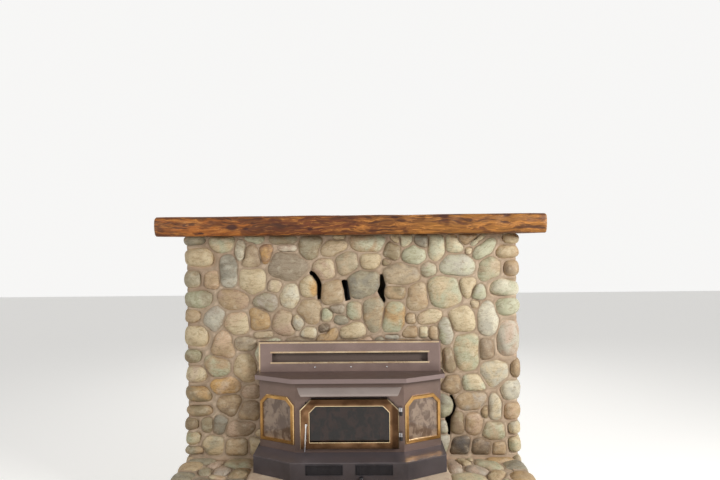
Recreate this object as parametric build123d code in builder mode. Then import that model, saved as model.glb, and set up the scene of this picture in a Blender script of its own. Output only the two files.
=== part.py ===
"""River stone fireplace of a log cabin, with a raised hearth, a log mantel and a steel stove set in it.

Millimetres. +X is to the right of someone facing the fire, +Y goes from the room into the wall and
+Z is up. The origin is on the floor, at the middle of the stonework's length and depth.
The stove's own sizes are measured from the middle of its opening at the face of the stones, and up
from the top of the hearth.
"""

from build123d import *
from math import atan2, cos, radians, sin, tan
import os

os.makedirs("parts", exist_ok=True)

# Stonework
breast_width = 2040.0
breast_depth = 450.0
breast_height = 1327.0
hearth_height = 440.0
hearth_projection = 700.0
front_wall = 120.0
back_wall = 120.0
pier_width = 408.0
cap_thick = 50.0

# Courses of cobbles, from the foot up: each bulges out between joints that lie back by a notch
left_courses = (60.0, 87.0, 84.0, 81.0, 116.0, 113.0, 110.0, 137.0, 98.0, 113.0, 125.0, 134.0, 69.0)
right_courses = (116.0, 95.0, 113.0, 131.0, 125.0, 246.0, 119.0, 116.0, 110.0, 92.0, 64.0)
hearth_courses = (154.0, 148.0, 138.0)
corner_notch = 30.0
face_notch = 24.0

# Opening that takes the stove, and the steel angle over it
opening_width = 840.0
opening_height = 640.0
angle_thick = 10.0
angle_seat = 85.0
angle_upstand = 80.0

# Gap for cool air beside the stove
cool_gap_width = 30.0
cool_gap_bottom = 130.0
cool_gap_height = 230.0

# Three gaps for warm air above the stove, under the top course: centre from the middle of the breast,
# and width
top_course_height = 222.0
vent_height = 185.0
vent_round_x = -190.0
vent_round_width = 30.0
vent_round_lean = 58.0
vent_round_rise = 62.0
vent_mid_x = -26.0
vent_mid_width = 50.0
vent_right_x = 189.0
vent_right_width = 42.0

# Flue
flue_radius = 76.0
flue_wall = 2.0
flue_bend = 105.0
flue_gores = 3
flue_flange = 12.0
flue_flange_thick = 4.0
thimble_size = 280.0
thimble_bore = 78.0

# Mantel
mantel_length = 2265.0
mantel_thick = 114.0
mantel_overhang = 120.0
mantel_bow = 26.0
mantel_under_round = 40.0
mantel_brow_round = 28.0
saw_spare = 10.0

# Stove: centre from the middle of the breast, and the plate it is made of
insert_x = -9.0
plate = 6.0
sheet = 3.0

# Base box of the stove, wider than its body by a lap at each side
base_height = 98.0
base_lap = 12.0
base_front = 320.0
base_side = 210.0
tail_clear = 30.0
tail_depth = 300.0
grille_width = 198.0
grille_height = 54.0
grille_bottom = 30.0
grille_offset = 135.0
grille_lap = 8.0
grille_slits = 14
grille_slit_width = 6.0
grille_slit_margin = 4.0

# Body of the stove
body_height = 399.0
body_face = 616.0
body_width = 1058.0
body_front = 177.0
body_side = 72.0
door_way_lap = 28.5
door_way_head_lap = 26.0
door_way_sill_lap = 26.0

# Shelf over the body, with its laps past the body's corners and ends
shelf_thick = 26.0
shelf_face_lap = 11.0
shelf_end_lap = 19.0
shelf_front = 220.0
shelf_side = 111.0

# Panel between the shelf and the stones
panel_lap = 8.5
panel_height = 175.0
panel_stand = 40.0
panel_fold = 12.0
outlet_margin = 77.5
outlet_height = 53.0
outlet_bottom = 56.0
outlet_depth = 30.0
trim_width = 9.0
trim_thick = 2.0

# Firebox behind the face of the stones
firebox_front_width = 790.0
firebox_back_width = 640.0
firebox_depth = 310.0
firebox_height = 502.0
firebox_plate = 5.0
brick = 32.0
brick_wall_height = 305.0
brick_clear = 0.5
baffle_thick = 6.0
baffle_setback = 62.0

# Door
door_width = 557.0
door_height = 284.0
door_bottom = 123.0
door_clip = 64.0
door_side_bar = 51.0
door_top_bar = 39.0
door_bottom_bar = 36.0
door_gap = 5.0
door_thick = 14.0
door_trim_thick = 7.0
door_trim_bevel = 5.0
door_bead_width = 4.0
door_bead_stand = 1.5
door_bead_edge = 1.0
glass_thick = 5.0
glass_lap = 6.0
glass_clear = 0.3

# Hinges of the door
hinge_stand = 12.5
hinge_low = 67.0
hinge_high = 209.0
knuckle_radius = 8.0
knuckle_height = 22.0
knuckle_gap = 1.0
pin_radius = 4.0
pin_clear = 0.05
leaf_thick = 8.0
knuckle_leaf_back = 4.0

# Side windows
window_bottom = 140.0
window_height = 268.0
window_side_gap = 6.0
window_bar = 20.0
window_clip = 46.0
window_thick = 9.0
window_bevel = 4.0
window_glass = 4.0
window_lap = 10.0

# Deflector over the door
visor_margin = 11.5
visor_bottom = 424.0
visor_height = 40.0
visor_reach = 37.0
visor_lip = 12.0
visor_taper = 26.0

# Handle
handle_inset = 36.5
handle_rise = 139.0
handle_length = 150.0
handle_shaft = 6.0
handle_shaft_depth = 10.0
handle_clear = 0.06
handle_boss = 13.0
handle_boss_thick = 9.0
handle_stand = 22.0
handle_radius = 7.0
handle_swell = 1.8
handle_waist = 0.4
handle_foot = 0.7

# Air control
rod_x = 66.0
rod_z = 14.0
rod_radius = 4.5
rod_length = 140.0
rod_clear = 0.08
knob_radius = 12.0
knob_length = 20.0
knob_stand = 6.0
knob_taper = 6.0
knob_edge = 3.0

# Places that follow from the sizes above
total_depth = hearth_projection + breast_depth
front_y = -total_depth / 2
face_y = front_y + hearth_projection
back_y = total_depth / 2
breast_left = -breast_width / 2
breast_right = breast_width / 2
chamber_half = breast_width / 2 - pier_width
chamber_depth = breast_depth - front_wall - back_wall
breast_top = hearth_height + breast_height
vent_top = breast_height - top_course_height
vent_bottom = vent_top - vent_height
base_face = body_face + 2 * base_lap
base_width = body_width + 2 * base_lap
tail_width = opening_width - 2 * tail_clear
body_top = base_height + body_height
shelf_face = body_face + 2 * shelf_face_lap
shelf_width = body_width + 2 * shelf_end_lap
panel_width = body_width + 2 * panel_lap
outlet_width = panel_width - 2 * outlet_margin
visor_width = body_face - 2 * visor_margin
shelf_top = body_top + shelf_thick
thimble_z = breast_height - thimble_size / 2
flue_y = front_wall + chamber_depth - flue_bend
firebox_top = base_height + firebox_height
door_front = body_front + door_gap + door_thick
door_middle = door_bottom + door_height / 2
door_way_width = door_width - 2 * door_way_lap
door_way_bottom = door_bottom + door_way_sill_lap
door_way_height = door_height - door_way_sill_lap - door_way_head_lap
hinge_x = door_width / 2 + hinge_stand
hinge_y = body_front + door_gap + door_thick - knuckle_leaf_back
hinge_heights = (door_bottom + hinge_low, door_bottom + hinge_high)
handle_x = -(door_width / 2 - handle_inset)
handle_z = door_bottom + handle_rise


def stone_plan(z):
    """Level plane at a height above the hearth, with its origin at the middle of the stones' face."""
    return Plane(origin=(0, face_y, hearth_height + z))


def stove_plan(z):
    """Level plane at a height above the hearth, on the stove's own middle line."""
    return Plane(origin=(insert_x, face_y, hearth_height + z))


def stove_front(y, x=0.0, z=0.0):
    """Upright plane that looks out at the room, at a depth behind the stones' face."""
    return Plane(origin=(insert_x + x, face_y + y, hearth_height + z), x_dir=(1, 0, 0), z_dir=(0, -1, 0))


def front_view(y, z):
    """Upright plane that looks out at the room, with its foot at a height above the floor."""
    return Plane(origin=(0, y, z), x_dir=(1, 0, 0), z_dir=(0, -1, 0))


def side_view(x, z):
    """Upright plane that faces right, with its own x running back from the room."""
    return Plane(origin=(x, 0, z), x_dir=(0, 1, 0), z_dir=(1, 0, 0))


def joint_levels(courses, height):
    """Heights of the joints over and under the courses, which share out the whole height."""
    levels = [0.0]
    for course in courses:
        levels.append(levels[-1] + course * height / sum(courses))
    return levels


def coursed_outline(plane, low, high, levels, low_notch, high_notch):
    """Upright outline of coursed stonework, with a bulge at each course on a side that has a notch."""
    with BuildSketch(plane) as outline:
        with BuildLine():
            for bottom, top in zip(levels, levels[1:]):
                for edge, notch in ((low, low_notch), (high, -high_notch)):
                    if notch:
                        crown = (edge, (bottom + top) / 2)
                        ThreePointArc((edge + notch, bottom), crown, (edge + notch, top))
                    else:
                        Line((edge, bottom), (edge, top))
            for level in (levels[0], levels[-1]):
                Line((low + low_notch, level), (high - high_notch, level))
        make_face()
    return outline.sketch


def stone_block(left, right, near, far, bottom):
    """Plan of a squared block of stonework, near and far from the stones' face."""
    with BuildSketch(stone_plan(bottom)) as plan:
        with Locations(((left + right) / 2, (near + far) / 2)):
            Rectangle(right - left, far - near)
    return plan.sketch


def bay_corners(face, width, front, side, inset=0.0):
    """Right half of a bay's plan, as its front corner and side corner, each moved in by an inset."""
    turn = atan2(front - side, width / 2 - face / 2)
    corner = (face / 2 - inset * tan(turn / 2), -(front - inset))
    shoulder = (width / 2 - inset, -(side + inset * tan(turn) - inset / cos(turn)))
    return corner, shoulder


def bay_outline(face, width, front, side, back=0.0, inset=0.0):
    """Whole plan of a bay, from the left back corner round the front to the right back corner."""
    corner, shoulder = bay_corners(face, width, front, side, inset)
    right = [corner, shoulder, (shoulder[0], back)]
    left = [(-x, y) for x, y in reversed(right)]
    return left + right


def clipped_outline(width, height, clip):
    """Upright panel about its middle, with its two top corners cut off."""
    x = width / 2
    z = height / 2
    return [(-x, -z), (x, -z), (x, z - clip), (x - clip, z), (-x + clip, z), (-x, z - clip)]


def clip_inside(clip, side_bar, top_bar):
    """Corner cut of the opening in a clipped frame, with its sloping bar about as wide as the others."""
    return clip - (side_bar + top_bar) * (1 - tan(radians(22.5))) / 2


# Stonework

with BuildPart() as hearth_base:
    levels = joint_levels(hearth_courses, hearth_height)
    front_of_hearth = front_view(front_y, 0)
    side_of_hearth = side_view(breast_left, 0)
    across = coursed_outline(front_of_hearth, breast_left, breast_right, levels, face_notch, face_notch)
    extrude(across, amount=-total_depth)
    along = coursed_outline(side_of_hearth, front_y, back_y, levels, face_notch, face_notch)
    extrude(along, amount=breast_width, mode=Mode.INTERSECT)
hearth_base.part.label = "hearth_base"
export_step(hearth_base.part, "parts/hearth_base.step")

with BuildPart() as left_pier:
    levels = joint_levels(left_courses, breast_height)
    front_of_pier = front_view(face_y, hearth_height)
    across = coursed_outline(front_of_pier, breast_left, -chamber_half, levels, corner_notch, 0)
    extrude(across, amount=-breast_depth)
    side_of_pier = side_view(breast_left, hearth_height)
    along = coursed_outline(side_of_pier, face_y, back_y, levels, face_notch, face_notch)
    extrude(along, amount=pier_width, mode=Mode.INTERSECT)
left_pier.part.label = "left_pier"
export_step(left_pier.part, "parts/left_pier.step")

with BuildPart() as right_pier:
    levels = joint_levels(right_courses, breast_height)
    across = coursed_outline(front_of_pier, chamber_half, breast_right, levels, 0, corner_notch)
    extrude(across, amount=-breast_depth)
    side_of_pier = side_view(chamber_half, hearth_height)
    along = coursed_outline(side_of_pier, face_y, back_y, levels, face_notch, face_notch)
    extrude(along, amount=pier_width, mode=Mode.INTERSECT)
right_pier.part.label = "right_pier"
export_step(right_pier.part, "parts/right_pier.step")

gap_left = chamber_half - cool_gap_width
gap_top = cool_gap_bottom + cool_gap_height

with BuildPart() as left_jamb:
    extrude(stone_block(-chamber_half, -opening_width / 2, 0, front_wall, 0), amount=opening_height)
left_jamb.part.label = "left_jamb"
export_step(left_jamb.part, "parts/left_jamb.step")

with BuildPart() as right_jamb:
    extrude(stone_block(opening_width / 2, gap_left, 0, front_wall, 0), amount=gap_top)
right_jamb.part.label = "right_jamb"
export_step(right_jamb.part, "parts/right_jamb.step")

with BuildPart() as right_jamb_head:
    head_plan = stone_block(opening_width / 2, chamber_half, 0, front_wall, gap_top)
    extrude(head_plan, amount=opening_height - gap_top)
right_jamb_head.part.label = "right_jamb_head"
export_step(right_jamb_head.part, "parts/right_jamb_head.step")

with BuildPart() as cool_gap_sill:
    extrude(stone_block(gap_left, chamber_half, 0, front_wall, 0), amount=cool_gap_bottom)
cool_gap_sill.part.label = "cool_gap_sill"
export_step(cool_gap_sill.part, "parts/cool_gap_sill.step")

angle_top = opening_height + angle_thick

with BuildPart() as steel_lintel:
    angle_back = front_wall + angle_thick
    seat = stone_block(-chamber_half, chamber_half, front_wall - angle_seat, angle_back, opening_height)
    extrude(seat, amount=angle_thick)
    upstand = stone_block(-chamber_half, chamber_half, front_wall, angle_back, angle_top)
    extrude(upstand, amount=angle_upstand - angle_thick)
steel_lintel.part.label = "steel_lintel"
export_step(steel_lintel.part, "parts/steel_lintel.step")

with BuildPart() as lintel_course:
    course_plan = stone_block(-chamber_half, chamber_half, 0, front_wall, angle_top)
    extrude(course_plan, amount=vent_bottom - angle_top)
lintel_course.part.label = "lintel_course"
export_step(lintel_course.part, "parts/lintel_course.step")


def vent_curve(x):
    """Side of the rounded vent at its foot x: straight up, then leaning over to the left as the stones do."""
    knee = vent_top - vent_round_rise
    lean = radians(45)
    middle = (x - vent_round_lean * (1 - cos(lean)), knee + vent_round_rise * sin(lean))
    return (x, knee), middle, (x - vent_round_lean, vent_top)


def rounded_block(outer, foot):
    """Face of a stone of the vent course, from a straight side at outer to the curved side at foot."""
    knee, middle, head = vent_curve(foot)
    face = Plane(origin=(0, face_y, hearth_height), x_dir=(1, 0, 0), z_dir=(0, -1, 0))
    with BuildSketch(face) as outline:
        with BuildLine():
            Polyline((foot, vent_bottom), knee)
            ThreePointArc(knee, middle, head)
            Polyline(head, (outer, vent_top), (outer, vent_bottom), (foot, vent_bottom))
        make_face()
    return outline.sketch


with BuildPart() as vent_stone_1:
    extrude(rounded_block(-chamber_half, vent_round_x - vent_round_width / 2), amount=-front_wall)
vent_stone_1.part.label = "vent_stone_1"
export_step(vent_stone_1.part, "parts/vent_stone_1.step")

with BuildPart() as vent_stone_2:
    mid_left = vent_mid_x - vent_mid_width / 2
    extrude(rounded_block(mid_left, vent_round_x + vent_round_width / 2), amount=-front_wall)
vent_stone_2.part.label = "vent_stone_2"
export_step(vent_stone_2.part, "parts/vent_stone_2.step")

mid_right = vent_mid_x + vent_mid_width / 2
right_left = vent_right_x - vent_right_width / 2
right_right = vent_right_x + vent_right_width / 2

with BuildPart() as vent_stone_3:
    extrude(stone_block(mid_right, right_left, 0, front_wall, vent_bottom), amount=vent_height)
vent_stone_3.part.label = "vent_stone_3"
export_step(vent_stone_3.part, "parts/vent_stone_3.step")

with BuildPart() as vent_stone_4:
    extrude(stone_block(right_right, chamber_half, 0, front_wall, vent_bottom), amount=vent_height)
vent_stone_4.part.label = "vent_stone_4"
export_step(vent_stone_4.part, "parts/vent_stone_4.step")

with BuildPart() as top_course:
    top_plan = stone_block(-chamber_half, chamber_half, 0, front_wall, vent_top)
    extrude(top_plan, amount=top_course_height)
top_course.part.label = "top_course"
export_step(top_course.part, "parts/top_course.step")

inner_back = front_wall + chamber_depth

with BuildPart() as chamber_cap:
    cap_plan = stone_block(-chamber_half, chamber_half, front_wall, inner_back, breast_height - cap_thick)
    extrude(cap_plan, amount=cap_thick)
chamber_cap.part.label = "chamber_cap"
export_step(chamber_cap.part, "parts/chamber_cap.step")

with BuildPart() as back_left:
    extrude(stone_block(-chamber_half, -thimble_size / 2, inner_back, breast_depth, 0), amount=breast_height)
back_left.part.label = "back_left"
export_step(back_left.part, "parts/back_left.step")

with BuildPart() as back_right:
    extrude(stone_block(thimble_size / 2, chamber_half, inner_back, breast_depth, 0), amount=breast_height)
back_right.part.label = "back_right"
export_step(back_right.part, "parts/back_right.step")

with BuildPart() as back_middle:
    middle_plan = stone_block(-thimble_size / 2, thimble_size / 2, inner_back, breast_depth, 0)
    extrude(middle_plan, amount=breast_height - thimble_size)
back_middle.part.label = "back_middle"
export_step(back_middle.part, "parts/back_middle.step")

with BuildPart() as flue_thimble:
    thimble_origin = (0, face_y + inner_back, hearth_height + thimble_z)
    thimble_face = Plane(origin=thimble_origin, x_dir=(-1, 0, 0), z_dir=(0, 1, 0))
    with BuildSketch(thimble_face):
        Rectangle(thimble_size, thimble_size)
        Circle(thimble_bore, mode=Mode.SUBTRACT)
    extrude(amount=back_wall)
flue_thimble.part.label = "flue_thimble"
export_step(flue_thimble.part, "parts/flue_thimble.step")

# Flue pipe, up from the firebox and back through the thimble in an elbow of mitred gores

gore_turn = radians(90) / flue_gores
gore_reach = flue_bend / cos(gore_turn / 2)
gore_points = []
for gore in range(flue_gores):
    along = gore_turn * (gore + 0.5)
    gore_y = flue_y + flue_bend - gore_reach * cos(along)
    gore_z = thimble_z - flue_bend + gore_reach * sin(along)
    gore_points.append((face_y + gore_y, hearth_height + gore_z))

with BuildPart() as flue_pipe:
    with BuildLine(side_view(0, 0)) as flue_path:
        flue_start = (face_y + flue_y, hearth_height + firebox_top)
        flue_end = (face_y + inner_back, hearth_height + thimble_z)
        Polyline(flue_start, *gore_points, flue_end)
    foot_plane = Plane(origin=(0, face_y + flue_y, hearth_height + firebox_top))
    with BuildSketch(foot_plane):
        Circle(flue_radius)
        Circle(flue_radius - flue_wall, mode=Mode.SUBTRACT)
    sweep(path=flue_path.wires()[0], transition=Transition.RIGHT)
    with BuildSketch(foot_plane):
        Circle(flue_radius + flue_flange)
        Circle(flue_radius - flue_wall, mode=Mode.SUBTRACT)
    extrude(amount=flue_flange_thick)
    with BuildSketch(thimble_face):
        Circle(flue_radius + flue_flange)
        Circle(flue_radius - flue_wall, mode=Mode.SUBTRACT)
    extrude(amount=-flue_flange_thick)
flue_pipe.part.label = "flue_pipe"
export_step(flue_pipe.part, "parts/flue_pipe.step")

# Mantel: a log sawn flat above, below and behind, with its natural rounded edge left to the room.
# Each station is a share of the length, and how far its edge stands back, as a share of the bow.

mantel_stations = (
    (0.0, 1.0),
    (0.05, 0.45),
    (0.22, 0.15),
    (0.4, 0.5),
    (0.58, 0.0),
    (0.78, 0.35),
    (1.0, 0.1),
)

with BuildPart() as mantel_log:
    log_top = mantel_thick + saw_spare
    for share, back_step in mantel_stations:
        nose = face_y - mantel_overhang + mantel_bow * back_step
        station_x = (share - 0.5) * mantel_length
        with BuildSketch(Plane(origin=(station_x, 0, breast_top), x_dir=(0, 1, 0), z_dir=(1, 0, 0))):
            with BuildLine():
                under = (nose + mantel_under_round, -saw_spare)
                brow = (nose + mantel_brow_round, log_top)
                ThreePointArc(under, (nose, mantel_thick / 2), brow)
                Polyline(brow, (back_y + saw_spare, log_top), (back_y + saw_spare, -saw_spare), under)
            make_face()
    loft(ruled=True)
    split(bisect_by=Plane.XY.offset(breast_top), keep=Keep.TOP)
    split(bisect_by=Plane.XY.offset(breast_top + mantel_thick), keep=Keep.BOTTOM)
    split(bisect_by=Plane(origin=(0, back_y, 0), z_dir=(0, 1, 0)), keep=Keep.BOTTOM)
mantel_log.part.label = "mantel_log"
export_step(mantel_log.part, "parts/mantel_log.step")

# Stove base, with its two air grilles and the ledge over it

base_plan = bay_outline(base_face, base_width, base_front, base_side)
tail_half = tail_width / 2
tail = [(tail_half, 0), (tail_half, tail_depth), (-tail_half, tail_depth), (-tail_half, 0)]

with BuildPart() as base_box:
    with BuildSketch(stove_plan(0)):
        with BuildLine():
            Polyline(*base_plan, *tail, close=True)
        make_face()
    extrude(amount=base_height - plate)
    with BuildSketch(stove_plan(plate)):
        with BuildLine():
            Polyline(*base_plan, *tail, close=True)
        make_face()
        offset(amount=-plate, kind=Kind.INTERSECTION)
    extrude(amount=base_height, mode=Mode.SUBTRACT)
    with BuildSketch(stove_front(-base_front)):
        with Locations(*[(side * grille_offset, grille_bottom + grille_height / 2) for side in (-1, 1)]):
            Rectangle(grille_width, grille_height)
        with Locations((rod_x, rod_z)):
            Circle(rod_radius + rod_clear)
    extrude(amount=-plate, mode=Mode.SUBTRACT)
base_box.part.label = "base_box"
export_step(base_box.part, "parts/base_box.step")

for side, name in ((-1, "left_grille"), (1, "right_grille")):
    slit_step = grille_width / grille_slits
    with BuildPart() as grille:
        middle = (side * grille_offset, grille_bottom + grille_height / 2)
        with BuildSketch(stove_front(-base_front + plate)):
            with Locations(middle):
                Rectangle(grille_width + 2 * grille_lap, grille_height + 2 * grille_lap)
                with GridLocations(slit_step, 0, grille_slits, 1):
                    slit_height = grille_height - 2 * grille_slit_margin
                    Rectangle(grille_slit_width, slit_height, mode=Mode.SUBTRACT)
        extrude(amount=-sheet)
    grille.part.label = name
    export_step(grille.part, f"parts/{name}.step")

with BuildPart() as ash_ledge:
    with BuildSketch(stove_plan(base_height - plate)):
        with BuildLine():
            Polyline(*base_plan, *tail, close=True)
        make_face()
    extrude(amount=plate)
ash_ledge.part.label = "ash_ledge"
export_step(ash_ledge.part, "parts/ash_ledge.step")

# Stove body: centre plate and the two slanted sides

outer_corner, outer_shoulder = bay_corners(body_face, body_width, body_front, body_side)
inner_corner, inner_shoulder = bay_corners(body_face, body_width, body_front, body_side, plate)

with BuildPart() as centre_plate:
    with BuildSketch(stove_plan(base_height)):
        with BuildLine():
            mirrored = [(-x, y) for x, y in (outer_corner, inner_corner)]
            Polyline(mirrored[0], outer_corner, inner_corner, mirrored[1], close=True)
        make_face()
    extrude(amount=body_height)
    with BuildSketch(stove_front(-body_front, z=door_way_bottom + door_way_height / 2)):
        Rectangle(door_way_width, door_way_height)
    extrude(amount=-plate, mode=Mode.SUBTRACT)
centre_plate.part.label = "centre_plate"
export_step(centre_plate.part, "parts/centre_plate.step")

facet_run = outer_shoulder[0] - outer_corner[0]
facet_fall = outer_shoulder[1] - outer_corner[1]
facet_angle = atan2(facet_fall, facet_run)
facet_length = facet_run / cos(facet_angle)
window_width = facet_length - 2 * window_side_gap
window_middle = window_bottom + window_height / 2
window_clip_inside = clip_inside(window_clip, window_bar, window_bar)
pane_width = window_width - 2 * window_bar
pane_height = window_height - 2 * window_bar


def facet_plane(side, out=0.0):
    """Upright plane on the outer face of a slanted side, centred on its window."""
    middle_x = side * (outer_corner[0] + outer_shoulder[0]) / 2
    middle_y = (outer_corner[1] + outer_shoulder[1]) / 2
    normal = (side * sin(facet_angle), -cos(facet_angle), 0)
    across = (cos(facet_angle), side * sin(facet_angle), 0)
    origin = (
        insert_x + middle_x + normal[0] * out,
        face_y + middle_y + normal[1] * out,
        hearth_height + window_middle,
    )
    return Plane(origin=origin, x_dir=across, z_dir=normal)


def window_pane(side, grow):
    """Clear opening of a side window on its plane, larger by grow on every side."""
    clip = window_clip_inside + grow * (2 - 2 ** 0.5)
    with BuildSketch(facet_plane(side)) as pane:
        with BuildLine():
            Polyline(*clipped_outline(pane_width + 2 * grow, pane_height + 2 * grow, clip), close=True)
        make_face()
    return pane.sketch


for side, word in ((-1, "left"), (1, "right")):
    with BuildPart() as facet:
        with BuildSketch(stove_plan(base_height)):
            with BuildLine():
                rim = [outer_corner, outer_shoulder, (outer_shoulder[0], 0)]
                lining = [(inner_shoulder[0], 0), inner_shoulder, inner_corner]
                Polyline(*[(side * x, y) for x, y in rim + lining], close=True)
            make_face()
        extrude(amount=body_height)
        extrude(window_pane(side, window_lap), amount=-plate, mode=Mode.SUBTRACT)
    facet.part.label = f"{word}_facet"
    export_step(facet.part, f"parts/{word}_facet.step")

    with BuildPart() as window_frame:
        with BuildSketch(facet_plane(side)):
            with BuildLine():
                Polyline(*clipped_outline(window_width, window_height, window_clip), close=True)
            make_face()
        extrude(amount=window_thick)
        outward = Axis(facet_plane(side).origin, facet_plane(side).z_dir)
        chamfer(window_frame.faces().sort_by(outward)[-1].edges(), window_bevel)
        extrude(window_pane(side, 0), amount=window_thick, mode=Mode.SUBTRACT)
    window_frame.part.label = f"{word}_window_frame"
    export_step(window_frame.part, f"parts/{word}_window_frame.step")

    with BuildPart() as window_glazing:
        extrude(window_pane(side, window_lap - glass_clear), amount=-window_glass)
    window_glazing.part.label = f"{word}_window_glass"
    export_step(window_glazing.part, f"parts/{word}_window_glass.step")

# Shelf: a folded pan, open below

with BuildPart() as top_shelf:
    shelf_plan = bay_outline(shelf_face, shelf_width, shelf_front, shelf_side)
    with BuildSketch(stove_plan(body_top)):
        with BuildLine():
            Polyline(*shelf_plan, close=True)
        make_face()
    extrude(amount=shelf_thick)
    with BuildSketch(stove_plan(body_top)):
        with BuildLine():
            Polyline(*bay_outline(shelf_face, shelf_width, shelf_front, shelf_side, 0, plate), close=True)
        make_face()
        with BuildLine():
            Polyline(*bay_outline(body_face, body_width, body_front, body_side, 0, -plate), close=True)
        make_face(mode=Mode.SUBTRACT)
    extrude(amount=shelf_thick - plate, mode=Mode.SUBTRACT)
top_shelf.part.label = "top_shelf"
export_step(top_shelf.part, "parts/top_shelf.step")

# Firebox: a steel box with sloping sides, open to the bay, with shoulders that close behind the windows


def firebox_half(y, inset):
    """Half of the firebox's width at a depth behind the stones' face, inside an inset."""
    slope = (firebox_back_width - firebox_front_width) / 2 / firebox_depth
    return firebox_front_width / 2 + slope * y - inset


def firebox_outline(front, back, inset):
    """Plan of the firebox between two depths, drawn in by an inset at its sloping sides."""
    wide = firebox_half(front, inset)
    narrow = firebox_half(back, inset)
    return [(-wide, front), (wide, front), (narrow, back), (-narrow, back)]


with BuildPart() as firebox_shell:
    with BuildSketch(stove_plan(base_height)):
        with BuildLine():
            Polyline(*firebox_outline(0, firebox_depth, 0), close=True)
        make_face()
    extrude(amount=firebox_height)
    with BuildSketch(stove_plan(base_height + firebox_plate)):
        with BuildLine():
            lining_back = firebox_depth - firebox_plate
            Polyline(*firebox_outline(firebox_plate, lining_back, firebox_plate), close=True)
        make_face()
    extrude(amount=firebox_height - 2 * firebox_plate, mode=Mode.SUBTRACT)
    mouth_half = firebox_half(0, firebox_plate)
    with BuildSketch(stove_front(0)):
        with Locations((0, (base_height + firebox_plate + body_top) / 2)):
            Rectangle(2 * mouth_half, body_height - firebox_plate)
    extrude(amount=-firebox_plate, mode=Mode.SUBTRACT)
    with BuildSketch(stove_plan(base_height)):
        shoulder_width = inner_shoulder[0] - mouth_half
        for side in (-1, 1):
            with Locations((side * (mouth_half + shoulder_width / 2), -firebox_plate / 2)):
                Rectangle(shoulder_width, firebox_plate)
    extrude(amount=body_height)
    with BuildSketch(stove_plan(firebox_top)):
        with Locations((-insert_x, flue_y)):
            Circle(flue_radius - flue_wall)
    extrude(amount=-firebox_plate, mode=Mode.SUBTRACT)
firebox_shell.part.label = "firebox_shell"
export_step(firebox_shell.part, "parts/firebox_shell.step")

brick_floor = base_height + firebox_plate
brick_inset = firebox_plate + brick_clear
brick_top = brick_floor + brick + brick_wall_height
brick_back = firebox_depth - brick_inset

with BuildPart() as floor_bricks:
    with BuildSketch(stove_plan(brick_floor)):
        with BuildLine():
            Polyline(*firebox_outline(firebox_plate, brick_back, brick_inset), close=True)
        make_face()
    extrude(amount=brick)
floor_bricks.part.label = "floor_bricks"
export_step(floor_bricks.part, "parts/floor_bricks.step")

with BuildPart() as back_bricks:
    with BuildSketch(stove_plan(brick_floor + brick)):
        with BuildLine():
            Polyline(*firebox_outline(brick_back - brick, brick_back, brick_inset), close=True)
        make_face()
    extrude(amount=brick_wall_height)
back_bricks.part.label = "back_bricks"
export_step(back_bricks.part, "parts/back_bricks.step")

for side, word in ((-1, "left"), (1, "right")):
    with BuildPart() as side_bricks:
        with BuildSketch(stove_plan(brick_floor + brick)):
            with BuildLine():
                near = firebox_plate
                far = brick_back - brick
                corners = [
                    (firebox_half(near, brick_inset), near),
                    (firebox_half(far, brick_inset), far),
                    (firebox_half(far, brick_inset + brick), far),
                    (firebox_half(near, brick_inset + brick), near),
                ]
                Polyline(*[(side * x, y) for x, y in corners], close=True)
            make_face()
        extrude(amount=brick_wall_height)
    side_bricks.part.label = f"{word}_bricks"
    export_step(side_bricks.part, f"parts/{word}_bricks.step")

with BuildPart() as baffle:
    with BuildSketch(stove_plan(brick_top)):
        with BuildLine():
            Polyline(*firebox_outline(baffle_setback, brick_back, brick_inset), close=True)
        make_face()
    extrude(amount=baffle_thick)
baffle.part.label = "baffle"
export_step(baffle.part, "parts/baffle.step")

# Panel over the shelf, with its warm air outlet and trim

with BuildPart() as surround_panel:
    with BuildSketch(stove_plan(shelf_top)):
        with Locations((0, -panel_stand / 2)):
            Rectangle(panel_width, panel_stand)
    extrude(amount=panel_height)
    upright_edges = surround_panel.edges().filter_by(Axis.Z).group_by(Axis.Y)[0]
    fillet(upright_edges.sort_by(Axis.X)[-1], panel_fold)
    with BuildSketch(stove_plan(shelf_top)):
        with Locations((0, -(panel_stand - sheet) / 2)):
            Rectangle(panel_width - 2 * sheet, panel_stand - sheet)
        fillet(vertices().group_by(Axis.X)[-1].sort_by(Axis.Y)[0], panel_fold - sheet)
    extrude(amount=panel_height - sheet, mode=Mode.SUBTRACT)
    with BuildSketch(stove_front(-panel_stand, z=shelf_top + outlet_bottom + outlet_height / 2)):
        Rectangle(outlet_width, outlet_height)
    extrude(amount=-sheet, mode=Mode.SUBTRACT)
surround_panel.part.label = "surround_panel"
export_step(surround_panel.part, "parts/surround_panel.step")

outlet_z = shelf_top + outlet_bottom + outlet_height / 2

with BuildPart() as outlet_duct:
    with BuildSketch(stove_front(-panel_stand + sheet, z=outlet_z)):
        Rectangle(outlet_width + 2 * sheet, outlet_height + 2 * sheet)
    extrude(amount=-outlet_depth)
    with BuildSketch(stove_front(-panel_stand + sheet, z=outlet_z)):
        Rectangle(outlet_width, outlet_height)
    extrude(amount=-outlet_depth + sheet, mode=Mode.SUBTRACT)
outlet_duct.part.label = "outlet_duct"
export_step(outlet_duct.part, "parts/outlet_duct.step")

with BuildPart() as surround_trim:
    with BuildSketch(stove_front(-panel_stand, z=shelf_top)):
        with Locations((0, panel_height - trim_width / 2)):
            Rectangle(panel_width - 2 * panel_fold, trim_width)
        with Locations((-panel_width / 2 + trim_width / 2, panel_height / 2)):
            Rectangle(trim_width, panel_height)
        with Locations((-panel_width / 2 + panel_fold, panel_height - trim_width / 2)):
            Rectangle(2 * panel_fold, trim_width)
    extrude(amount=trim_thick)
surround_trim.part.label = "surround_trim"
export_step(surround_trim.part, "parts/surround_trim.step")

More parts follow.
